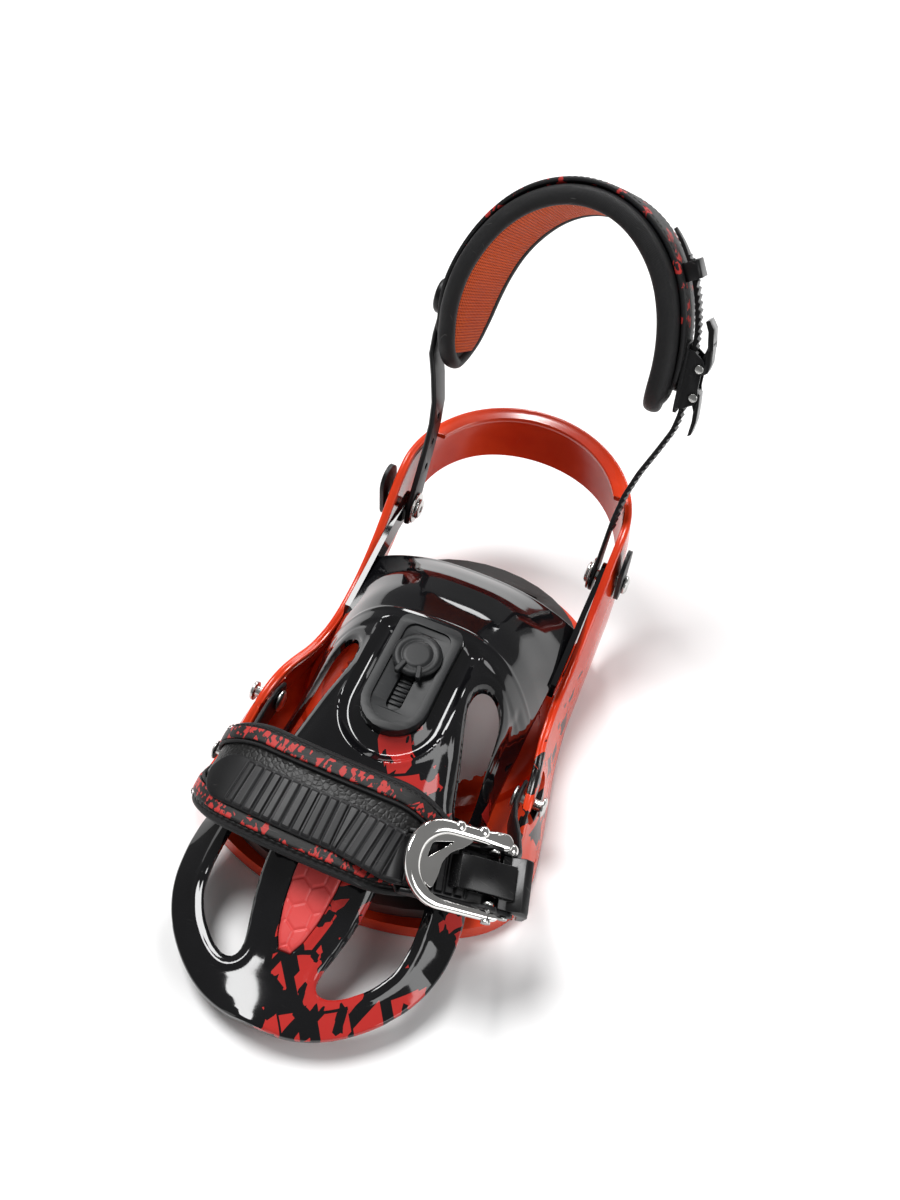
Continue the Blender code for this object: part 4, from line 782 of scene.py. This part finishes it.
def makeInsert():
    # crowned skin; grooves follow the borders of hexagon cells 9.6 across
    rows, columns = 150, 61
    y = np.linspace(-163.0, -112.0, rows)
    wide = readTable(y, insertWide, 1.5)
    x = wide[:, None] * np.sin(np.linspace(-0.5, 0.5, columns) * math.pi)[None, :]
    yy = np.broadcast_to(y[:, None], x.shape)
    cell = 9.6
    cellSize = cell * np.array([1.0, 1.7320508])
    a = np.stack([x, yy], axis=-1) / cellSize
    first = (a - np.round(a)) * cellSize
    second = (a - np.floor(a) - 0.5) * cellSize
    isFirst = (first ** 2).sum(-1, keepdims=True) < (second ** 2).sum(-1, keepdims=True)
    nearer = np.abs(np.where(isFirst, first, second))
    hexDistance = np.maximum(nearer[..., 0], nearer[..., 0] * 0.5 + nearer[..., 1] * 0.8660254)
    groove = 0.55 * smoothStep((hexDistance - (cell / 2.0 - 0.75)) / 0.55)
    fromEdge = np.minimum(wide[:, None] - np.abs(x), np.minimum(yy + 163.0, -112.0 - yy))
    roll = 1.5 * (1.0 - np.sqrt(1.0 - (1.0 - np.clip(fromEdge / 1.8, 0.0, 1.0)) ** 2))
    base = shellTop(x * 0.0, yy)
    outer = np.stack([x, yy, base + 1.3 - groove - roll], axis=2)
    inner = np.stack([x, yy, base - 1.5], axis=2)
    made = loft("hexInsert", np.concatenate([outer, inner[:, ::-1]], axis=1), sharp=50)
    return finishPiece(made, "rubberRed", "highback", "rubber_red", "hex_insert")


def makeKnob():
    # flat round cap with a rolled edge, a shallow ring and two prongs at its tip side
    where = plateFrame() @ Matrix.Translation((0.0, 8.5, 0.0))
    profile = [(0.3, 5.7), (5.0, 5.7), (6.6, 5.65), (7.0, 5.35), (7.5, 5.3), (8.0, 5.55), (9.6, 5.6),
               (10.5, 5.4), (11.1, 4.9), (11.4, 4.2), (11.4, 3.6), (11.1, 3.35)]
    knob = turned("leanKnob", profile, where, 96, 40)
    for side in (1, -1):
        at = where @ Matrix.Translation((side * 4.4, -9.0, 0.0)) @ Matrix.Rotation(side * 0.28, 4, "Z")
        prong = slab("knobProng%d" % side, oval(1.2, 3.4, 1.1), 3.9, 7.0, at, 0.5, 50)
        finishPiece(prong, "charcoal", "lean_knob", "plastic_charcoal")
    return finishPiece(knob, "charcoal", "lean_knob", "plastic_charcoal", "lean_knob")


makeShell()
makeInsert()
makeKnob()
print("highback built")


ankle = {"lean": math.radians(25.0), "half": 48.5, "shoulder": 106.0, "rise": 68.0, "padHalf": 25.5,
         "coverHalf": 17.5, "roll": 3.6}
leanUp = np.array([0.0, math.sin(ankle["lean"]), math.cos(ankle["lean"])])
leanToe = np.array([0.0, -math.cos(ankle["lean"]), math.sin(ankle["lean"])])


def anklePoint(x, s):
    # bolt axis + x across + s up the lean
    middle = np.array([0.0, tray["pivotY"], tray["pivotZ"]])
    return middle + np.multiply.outer(x, [1.0, 0.0, 0.0]) + np.multiply.outer(s, leanUp)


def archPath(offset, leftLow, rightLow, count):
    # straight up the left, half an oval over the top, straight down the right
    turn = np.radians(np.linspace(-90.0, 90.0, 181))
    across = ankle["half"] + offset
    oval = np.column_stack([across * np.sin(turn), ankle["shoulder"] + (ankle["rise"] + offset)
                            * np.maximum(np.cos(turn), 0.0) ** 0.94])
    flat = np.concatenate([[(-across, leftLow)], oval, [(across, rightLow)]])
    flat, gone = evenly(flat, count)
    return anklePoint(flat[:, 0], flat[:, 1]), gone


def edgeLoop(path, side, out, edge, lift, count, times):
    # along one long edge and back along the other, lifted, read evenly and eased, with its up axes
    loop = np.concatenate([path + side * edge[:, None] + lift, (path - side * edge[:, None] + lift)[::-1]])
    return smoothRing(loop, count, times), readAlong(np.concatenate([out, out[::-1]]), count)


def readAlong(rows, count):
    # the rows read at count even places from the first to the last
    at, places = np.linspace(0, 1, len(rows)), np.linspace(0, 1, count)
    return np.column_stack([np.interp(places, at, rows[:, k]) for k in range(3)])


def endRound(gone, reach):
    # quarter circle rise over the first and last reach of the length
    near = np.clip(np.minimum(gone, gone[-1] - gone) / reach, 0.0, 1.0)
    return np.sqrt(np.maximum(1.0 - (1.0 - near) ** 2, 0.0))


def turnedSide(path, share):
    # the left half leans its lining towards the toe: side cos(lean) - out sin(lean)
    side, out = axesAlong(path, -leanToe)[1:]
    fade = (1.0 - smoothStep((share - 0.32) / 0.36)) * smoothStep(share / 0.25 + 0.45)
    lean = math.radians(15.0) * fade[:, None]
    return side * np.cos(lean) - out * np.sin(lean)


def makeAnkleStrap():
    # an arch with a superellipse section: core, rolled edge, lining, then the cover over them
    path, gone = archPath(0.0, 81.0, 93.0, 241)
    share = gone / gone[-1]
    taper = readTable(share, [(0.0, 0.60), (0.167, 1.0), (0.833, 1.0), (1.0, 0.60)], 0.07)
    half = ankle["padHalf"] * taper - 2.0 * np.sin(share * math.pi) ** 4
    half = half * np.maximum(endRound(gone, 15.0), 0.06)
    swell = endRound(gone, 9.0)
    padSide = turnedSide(path, share)
    core = sweep("anklePadCore", path, padSide, half - 1.0, 1.6, 2.0 + 7.6 * swell, 0.62, 56, crown=0.9)
    finishPiece(core, "bindingBlack", "ankle_strap", "strap_fabric", "ankle_pad")
    # the soft rolled edge follows both long sides and both ends as one closed tube
    side, out = axesAlong(path, padSide)[1:]
    edge = np.maximum(half - ankle["roll"], 0.2)
    loopPath, upAxis = edgeLoop(path, side, out, edge, out * 3.7, 520, 10)
    turn = np.linspace(0.0, 2.0 * math.pi, 520)
    ripple = 1.0 + 0.05 * np.sin(30.0 * turn) * np.sin(7.0 * turn)
    roll = sweep("ankleRolledEdge", loopPath, upAxis, 4.5, -3.4 * ripple, 3.4 * ripple, 0.9, 28, True)
    finishPiece(roll, "bindingBlack", "ankle_strap", "strap_fabric")
    # the lining lies just inside the rolls with two shallow wrinkles
    inner = slice(8, -8)
    wrinkle = 0.5 * (bump1d(share - 0.58, 0.008) + bump1d(share - 0.70, 0.006))
    lining = sweep("ankleLining", path[inner], padSide[inner], np.maximum(half - 5.0, 1.0)[inner],
                   (-0.9 + 1.2 * (1 - swell) + wrinkle)[inner], 2.6, 0.5, 44)
    finishPiece(lining, "liningOrange", "ankle_strap", "strap_fabric")
    # outer cover with raised seams
    path, gone = archPath(10.85, 92.0, 104.0, 221)
    share = gone / gone[-1]
    taper = readTable(share, [(0.0, 0.62), (0.11, 1.0), (0.89, 1.0), (1.0, 0.62)], 0.05)
    half = ankle["coverHalf"] * taper * np.maximum(endRound(gone, 8.0), 0.08)
    coverSide = turnedSide(path, share)
    cover = sweep("ankleCover", path, coverSide, half, -1.2, 1.9, 0.4, 48, crown=0.5)
    finishPiece(cover, "coverBlack", "ankle_strap", "strap_fabric", "ankle_cover")
    side, out = axesAlong(path, coverSide)[1:]
    for label, sideShare in (("Toe", -0.80), ("Heel", 0.80)):
        line = (path + side * (half * sideShare)[:, None] + out * 1.95)[6:-6]
        seam = stitches("ankleSeam" + label, line, out[6:-6], 3.0, 0.24)
        finishPiece(seam, "strapPlastic", "ankle_strap", "strap_fabric")


def stitches(name, line, up, spacing, radius):
    # short capsule threads laid end to end along the line, all from one capsule's own rings
    length = np.linalg.norm(np.diff(line, axis=0), axis=1).sum()
    line = evenly(line, int(length / spacing))[0]
    turn = np.linspace(0.0, 2.0 * math.pi, 6, endpoint=False)
    tangent = unit(np.gradient(line, axis=0))
    up = readAlong(up, len(line))
    side = unit(np.cross(tangent, up))
    stations = np.array([(-1.0, 0.05), (-0.85, 0.7), (-0.4, 1.0), (0.4, 1.0), (0.85, 0.7), (1.0, 0.05)])
    along = stations[:, 0] * spacing * 0.36
    ring = side[:, None, None] * np.cos(turn)[:, None] + up[:, None, None] * np.sin(turn)[:, None]
    rings = line[:, None, None] + tangent[:, None, None] * along[:, None, None]
    rings = rings + ring * (radius * stations[:, 1])[:, None, None]
    number, count, around = rings.shape[:3]
    at = np.arange(number * count * around).reshape(number, count, around)
    quads = np.stack([at[:, :-1], at[:, 1:], np.roll(at[:, 1:], -1, 2), np.roll(at[:, :-1], -1, 2)], axis=-1)
    caps = np.concatenate([at[:, 0], at[:, -1][:, ::-1]])
    return makeObject(name, rings.reshape(-1, 3), quads.reshape(-1, 4).tolist() + caps.tolist(), None, 60)


def makeAnkleLadder():
    # teeth rise slowly and drop fast along the strap's length
    rise = [(51.2, -9), (51.2, 4), (51.2, 18), (51.3, 32), (52.6, 46), (56, 60), (61, 74), (65, 86),
            (65.7, 95), (64.9, 103), (63.8, 112), (62.7, 121)]
    turn = np.radians(np.linspace(74.0, 33.0, 40))
    over = np.column_stack([(ankle["half"] + 15.2) * np.sin(turn), ankle["shoulder"] + (ankle["rise"] + 15.2)
                            * np.cos(turn) ** 0.94])
    flat = np.concatenate([rise, over])
    path, gone = evenly(anklePoint(flat[:, 0], flat[:, 1]), 520)
    path = rounder(path, 40)
    saw = (gone / 3.4) % 1.0
    tooth = np.where(saw < 0.75, saw / 0.75, (1.0 - saw) / 0.25) * ((gone > 36) & (gone < gone[-1] - 14))
    half = readTable(gone, [(0, 4.5), (5, 8), (12, 8.6), (30, 6.2), (gone[-1] - 20, 6.2), (gone[-1], 2.6)], 2)
    half = half * np.maximum(endRound(gone, 5.0), 0.1)
    made = sweep("ankleLadder", path, leanToe, half, 0.0, 1.9 + 1.2 * tooth, 0.3, 28)
    at = place(tuple(anklePoint(40.0, 0.0)), tuple(leanUp), (1, 0, 0))
    booleans(made, (), [turned("ladderBore", [(3.3, 30.0), (3.3, 0.0)], at, 32)])
    return finishPiece(made, "strapPlastic", "ankle_ladder", "strap_plastic", "ankle_ladder")


makeAnkleStrap()
makeAnkleLadder()
print("ankle strap built")


toeSide = np.array([0.0, -0.954, -0.30])
toe = {"half": 24.0, "piping": 1.9}


def toeInner(turn):
    # x = 61 sin, rise = cos^0.5, forward 23.3 and up 25.6 with the rise
    turn = np.radians(turn)
    rise = np.maximum(np.cos(turn), 0.0) ** 0.5
    return np.column_stack([61.0 * np.sin(turn), -92.0 - 23.3 * rise, 34.0 + 25.6 * rise])


def toeBuckleFrame():
    # X along the strap through the buckle, Z out of it
    return place((56.0, -121.0, 68.0), (0.852, 0.370, -0.370), (0.459, -0.188, 0.869))


def makeToePad():
    # a superellipse carried along the toe arch, with piping, bands and seams set off from its middle line
    turn = np.concatenate([np.linspace(-88.0, -60.0, 60), np.linspace(-58.0, 57.0, 120)])
    path, gone = evenly(toeInner(turn), 261)
    path = rounder(path, 20)
    share = gone / gone[-1]
    taper = readTable(share, [(0.0, 0.52), (0.185, 1.0), (0.815, 1.0), (1.0, 0.52)], 0.07)
    half = toe["half"] * taper * np.maximum(endRound(gone, 9.0), 0.08)
    thick = readTable(share, [(0.0, 6.4), (0.12, 8.6), (0.82, 8.6), (0.92, 6.0), (1.0, 3.2)], 0.03)
    thick = thick * np.maximum(endRound(gone, 5.0), 0.2)
    side, out = axesAlong(path, -toeSide)[1:]
    section = roundSection(72, 0.5)
    across = section[None, :, 0] * (half - 0.8)[:, None]
    top = section[None, :, 1] > 0
    # the top is a shallow trough between two padded edges, creased across its width
    edgeShare = np.abs(section[None, :, 0])
    quilt = -1.5 * (1.0 - smoothStep((edgeShare - 0.52) / 0.14)) * top
    wander = gone[:, None] * 0.42 + 2.4 * np.sin(gone[:, None] * 0.11) + 3.0 * edgeShare
    crease = 0.55 * np.sin(wander) * bump1d(section[None, :, 0] + 0.42, 0.15) * top
    up = thick[:, None] / 2.0 * (1.0 + section[None, :, 1]) + (quilt + crease) * endRound(gone, 12.0)[:, None]
    pad = loft("toePad", ringsAlong(path, side, out, across, up), sharp=60)
    rivetAt = place((0.0, -94.0, 39.6), (0, 1, 0), (-1, 0, 0))
    booleans(pad, (), [turned("padRivetHole", [(2.1, 90.0), (2.1, 50.0)], rivetAt, 24)], 60)
    finishPiece(pad, "leatherBlack", "toe_strap", "strap_fabric", "toe_pad")
    edge = np.maximum(half - 1.2, 0.4)
    loopPath, upAxis = edgeLoop(path, side, out, edge, out * (thick * 0.62)[:, None], 480, 6)
    piping = sweep("toePiping", loopPath, upAxis, toe["piping"], -toe["piping"], toe["piping"], 1.0, 14, True)
    finishPiece(piping, "bindingBlack", "toe_strap", "strap_fabric")
    for label, sign in (("Front", -1.0), ("Rear", 1.0)):
        middleLine = path + side * (sign * np.maximum(half - 6.2, 0.3))[:, None] + out * thick[:, None]
        band = sweep("toeBand" + label, middleLine[10:-10], -toeSide, 3.0, -1.6, 0.7, 0.4, 20)
        finishPiece(band, "bandBlack", "toe_strap", "strap_fabric")
        inset = path + side * (sign * np.maximum(half - 10.4, 0.2))[:, None] + out * (thick - 0.5)[:, None]
        cordLine = sweep("toeInnerPiping" + label, inset[12:-12], -toeSide, 0.9, -0.9, 0.9, 1.0, 12)
        finishPiece(cordLine, "bindingBlack", "toe_strap", "strap_fabric")
    for label, sideShare in (("Front", -0.90), ("Rear", 0.90)):
        line = (path + side * (half * sideShare)[:, None] + out * (thick + 0.1)[:, None])[14:-14]
        seam = stitches("toeSeam" + label, line, out[14:-14], 3.2, 0.32)
        finishPiece(seam, "strapPlastic", "toe_strap", "strap_fabric")


def makeToeLadder():
    # a superellipse strap whose top carries flat ribs, faded out at both long edges
    where = toeBuckleFrame()
    turn = np.linspace(-62.0, 6.0, 80)
    inner = toeInner(turn)
    tangent = unit(np.gradient(inner, axis=0))
    side = unit(toeSide - tangent * (tangent @ toeSide)[:, None])
    out = np.cross(side, tangent)
    out = out * np.where(out[:, 2:] < 0, -1.0, 1.0)
    over = inner + out * 9.0 + side * 5.2
    inlet = into([(u, 0.0, -6.2) for u in (-24.0, -16.0, -8.0, 0.0, 8.0, 15.0)], where)
    path, gone = evenly(np.concatenate([over, inlet]), 420)
    path = rounder(path, 30)
    mixIn = smoothStep((gone - (gone[-1] - 52.0)) / 12.0)[:, None]
    sideLine = toeSide * (1 - mixIn) - np.array(where.col[1][:3]) * mixIn
    side, out = axesAlong(path, -sideLine)[1:]
    half = 10.9 * np.maximum(1.0 - edgeDrop(gone / 12.0, 1.0), 0.1)
    # flat topped ribs 4.6 apart with narrow grooves between them, after a plain tongue
    wave = smoothStep((np.abs(((gone / 4.6) % 1.0) - 0.5) - 0.06) / 0.14)
    ribbed = smoothStep((gone - 15.0) / 3.0) * smoothStep((gone[-1] - 6.0 - gone) / 4.0)
    section = roundSection(44, 0.3)
    ribWide = smoothStep((0.90 - np.abs(section[:, 0])) / 0.06)
    ribs = 1.1 * (wave * ribbed)[:, None] * (ribWide * (section[:, 1] > 0))[None, :]
    up = section[None, :, 1] + 1.0 + ribs
    across = section[None, :, 0] * half[:, None]
    made = loft("toeLadder", ringsAlong(path, side, out, across, up), sharp=50)
    return finishPiece(made, "strapPlastic", "toe_strap", "strap_plastic", "toe_ladder")


lever = {
    "low": 0.4,
    "halves": [(0.0, 1.6), (0.05, 2.0), (0.25, 2.3), (0.36, 3.2), (0.5, 3.9), (0.62, 3.8), (0.74, 3.0),
        (0.88, 3.0), (0.95, 4.0), (1.0, 3.6)],
    "highs": [(0.0, 3.8), (0.2, 4.4), (0.5, 4.9), (0.8, 4.6), (1.0, 4.2)],
    "web": [(-17.5, 9.5), (-11.5, 12.8), (-2.0, 13.6), (5.0, 13.4), (0.5, 9.0), (-5.0, 6.0), (-8.6, 1.0),
        (-9.6, -5.5), (-11.5, -11.0), (-17.0, -8.0), (-19.0, 0.0)],
    "opening": [(-15.6, 1.0), (-14.0, 8.0), (-4.0, 10.4), (-10.6, 5.0)],
    "rivet": [(0.2, 1.5), (1.2, 1.35), (2.1, 0.9), (2.6, 0.2), (2.6, -0.8)],
}


def makeToeLever():
    # a U swept along its own middle line: front arm, round left end, rear arm with a longer lobe
    where = toeBuckleFrame()
    turn = np.radians(np.linspace(-90.0, -270.0, 61))
    roundEnd = np.column_stack([-6.6 + 14.9 * np.cos(turn), 15.8 * np.sin(turn)])
    front = np.column_stack([np.linspace(20.0, -6.0, 30), np.full(30, -15.8)])
    rear = np.column_stack([np.linspace(-6.2, 22.5, 34), np.full(34, 15.8)])
    line = np.concatenate([front, roundEnd, rear])
    line, gone = evenly(line, 181)
    line = rounder(line, 8)
    share = gone / gone[-1]
    half = readTable(share, lever["halves"], 0.02) * np.maximum(endRound(gone, 2.6), 0.08)
    high = readTable(share, lever["highs"], 0.03)
    flat = np.column_stack([line, np.zeros(len(line))])
    tangent = unit(np.gradient(flat, axis=0))
    side = np.column_stack([-tangent[:, 1], tangent[:, 0], np.zeros(len(line))])
    section = roundSection(36, 0.75)
    # the top slopes down towards the inside of the loop at the round end
    slope = 1.5 * readTable(share, [(0.3, 0.0), (0.42, 1.0), (0.58, 1.0), (0.7, 0.0)])
    up = lever["low"] + (section[None, :, 1] + 1.0) / 2.0 * (high[:, None] - lever["low"])
    up = up + slope[:, None] * section[None, :, 0] * 0.5 * (section[None, :, 1] > 0)
    across = section[None, :, 0] * half[:, None]
    rings = ringsAlong(flat, side, np.array([[0.0, 0.0, 1.0]]), across, up)
    made = loft("toeLever", into(rings, where), sharp=60)
    boreAt = place(into([(15.0, -20.0, 2.4)], where)[0], where.col[0][:3], where.col[1][:3])
    booleans(made, (), [turned("leverBore", [(1.55, 40.0), (1.55, 0.0)], boreAt, 24)], 50)
    finishPiece(made, "chrome", "toe_lever", "chrome", "toe_lever")
    # a sloped web fills the round end, with a three cornered opening in it
    webPiece = slab("toeLeverWeb", smoothRing(lever["web"], 88, 4), 1.0, 3.3, where, 0.0, 60)
    opening = slab("webOpening", smoothRing(lever["opening"], 48, 3), -2.0, 8.0, where)
    booleans(webPiece, (), [opening], 60)
    addBevel(webPiece, 0.8, 3, 40)
    finishPiece(webPiece, "chrome", "toe_lever", "chrome")
    for number, (u, v) in enumerate(((-3.0, 16.9), (8.0, 17.3), (24.2, 14.2))):
        at = where @ Matrix.Translation((u, v, 4.0 if number < 2 else 0.6))
        head = turned("leverRivet%d" % number, lever["rivet"], at, 32)
        finishPiece(head, "chrome", "toe_lever" if number < 2 else "toe_buckle", "chrome")


makeToePad()
makeToeLadder()
makeToeLever()
print("toe strap built")


frameLooks = {
    "strapPlastic": ["hardware_cover_left", "hardware_cover_right", "ankle_connector", "ankle_knob",
        "ankle_keeper", "ankle_buckle_base", "toe_connector_left", "toe_connector_right",
        "toe_buckle_base"],
    "charcoal": ["lean_plate", "lean_rack", "lean_slider"],
    "buckleBlack": ["ankle_lever", "ankle_pawl", "toe_tab"],
    "rubberDark": ["toe_ramp", "heel_pad"],
    "steel": ["ankle_bolt_left", "ankle_bolt_right", "ankle_washer_left", "ankle_washer_right",
        "toe_bolt_left", "toe_bolt_right", "ankle_lever_pin", "ankle_pawl_pin", "ankle_rivet_upper",
        "ankle_rivet_lower", "toe_rivet_left", "toe_rivet_right", "toe_lever_pin_front",
        "toe_lever_pin_rear", "toe_tab_pin"],
}
edgeWidths = {"strapPlastic": 0.5, "charcoal": 0.35, "buckleBlack": 0.7, "rubberDark": 0.7, "steel": 0.25}
for look, names in frameLooks.items():
    for name in names:
        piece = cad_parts[name]
        piece.data.materials.clear()
        piece.data.materials.append(looks[look])
        piece.data.polygons.foreach_set("use_smooth", np.ones(len(piece.data.polygons), bool))
        weld = piece.modifiers.new("weld", "WELD")
        weld.merge_threshold = 0.00002
        addBevel(piece, edgeWidths[look], 2, 32)
print("frame pieces dressed")


def plainMaterial(name, low, high):
    # pale ground with a faint cloudy tone
    made = bpy.data.materials.new(name)
    made.use_nodes = True
    tree = made.node_tree
    shader = tree.nodes["Principled BSDF"]
    coordinates = node(tree, "TexCoord")
    tone = noise(tree, coordinates.outputs["Object"], 3.0, 3.0)
    tree.links.new(blendColour(tree, tone, low, high), shader.inputs["Base Color"])
    shader.inputs["Roughness"].default_value = 0.85
    return made


def makeFloor():
    ground = bpy.data.meshes.new("ground")
    corners = [(x, y, -0.0006) for x, y in ((-6, -6), (6, -6), (6, 6), (-6, 6))]
    ground.from_pydata(corners, [], [(0, 1, 2, 3)])
    made = bpy.data.objects.new("ground", ground)
    bpy.context.scene.collection.objects.link(made)
    made.data.materials.append(plainMaterial("groundPale", (0.86, 0.86, 0.86), (0.90, 0.90, 0.90)))


def makeLight(name, at, aim, sizes, power):
    data = bpy.data.lights.new(name, "AREA")
    data.shape = "RECTANGLE"
    data.size, data.size_y = sizes
    data.energy = power
    made = bpy.data.objects.new(name, data)
    bpy.context.scene.collection.objects.link(made)
    made.location = at
    made.rotation_euler = (Vector(aim) - Vector(at)).to_track_quat("-Z", "Y").to_euler()


makeFloor()
key = bpy.data.lights.new("keySoft", "SUN")
key.angle = math.radians(25.0)
key.energy = 2.9
keyObject = bpy.data.objects.new("keySoft", key)
bpy.context.scene.collection.objects.link(keyObject)
keyObject.rotation_euler = Vector((0.8, -0.2, -1.85)).to_track_quat("-Z", "Y").to_euler()
makeLight("fillSide", (1.5, -0.5, 1.2), (0, 0, 0.05), (0.9, 0.9), 12.0)
makeLight("backStrip", (0.1, 1.5, 0.9), (0, 0, 0.05), (1.2, 0.22), 8.0)
makeLight("windowSmall", (-0.35, 1.25, 1.25), (0, 0, 0.05), (0.16, 0.30), 6.0)
world = bpy.data.worlds.new("studio")
bpy.context.scene.world = world
world.use_nodes = True
world.node_tree.nodes["Background"].inputs["Color"].default_value = (1.0, 1.0, 1.0, 1.0)
world.node_tree.nodes["Background"].inputs["Strength"].default_value = 0.22

camera = {"at": (0.10948, -0.40235, 0.52767), "look": (-0.1835, 0.66812, -0.72107),
          "up": (-0.34656, 0.62705, 0.69765), "lens": 39.02}
cameraData = bpy.data.cameras.new("camera")
cameraData.lens = camera["lens"]
cameraData.sensor_fit = "AUTO"
cameraData.clip_start = 0.01
cameraObject = bpy.data.objects.new("camera", cameraData)
bpy.context.scene.collection.objects.link(cameraObject)
back = -Vector(camera["look"]).normalized()
right = Vector(camera["up"]).cross(back).normalized()
cameraObject.matrix_world = Matrix.Translation(camera["at"]) @ Matrix(
    (right, back.cross(right), back)).transposed().to_4x4()
bpy.context.scene.camera = cameraObject
bpy.context.scene.view_settings.view_transform = "Standard"

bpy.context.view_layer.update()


print("stage ready")
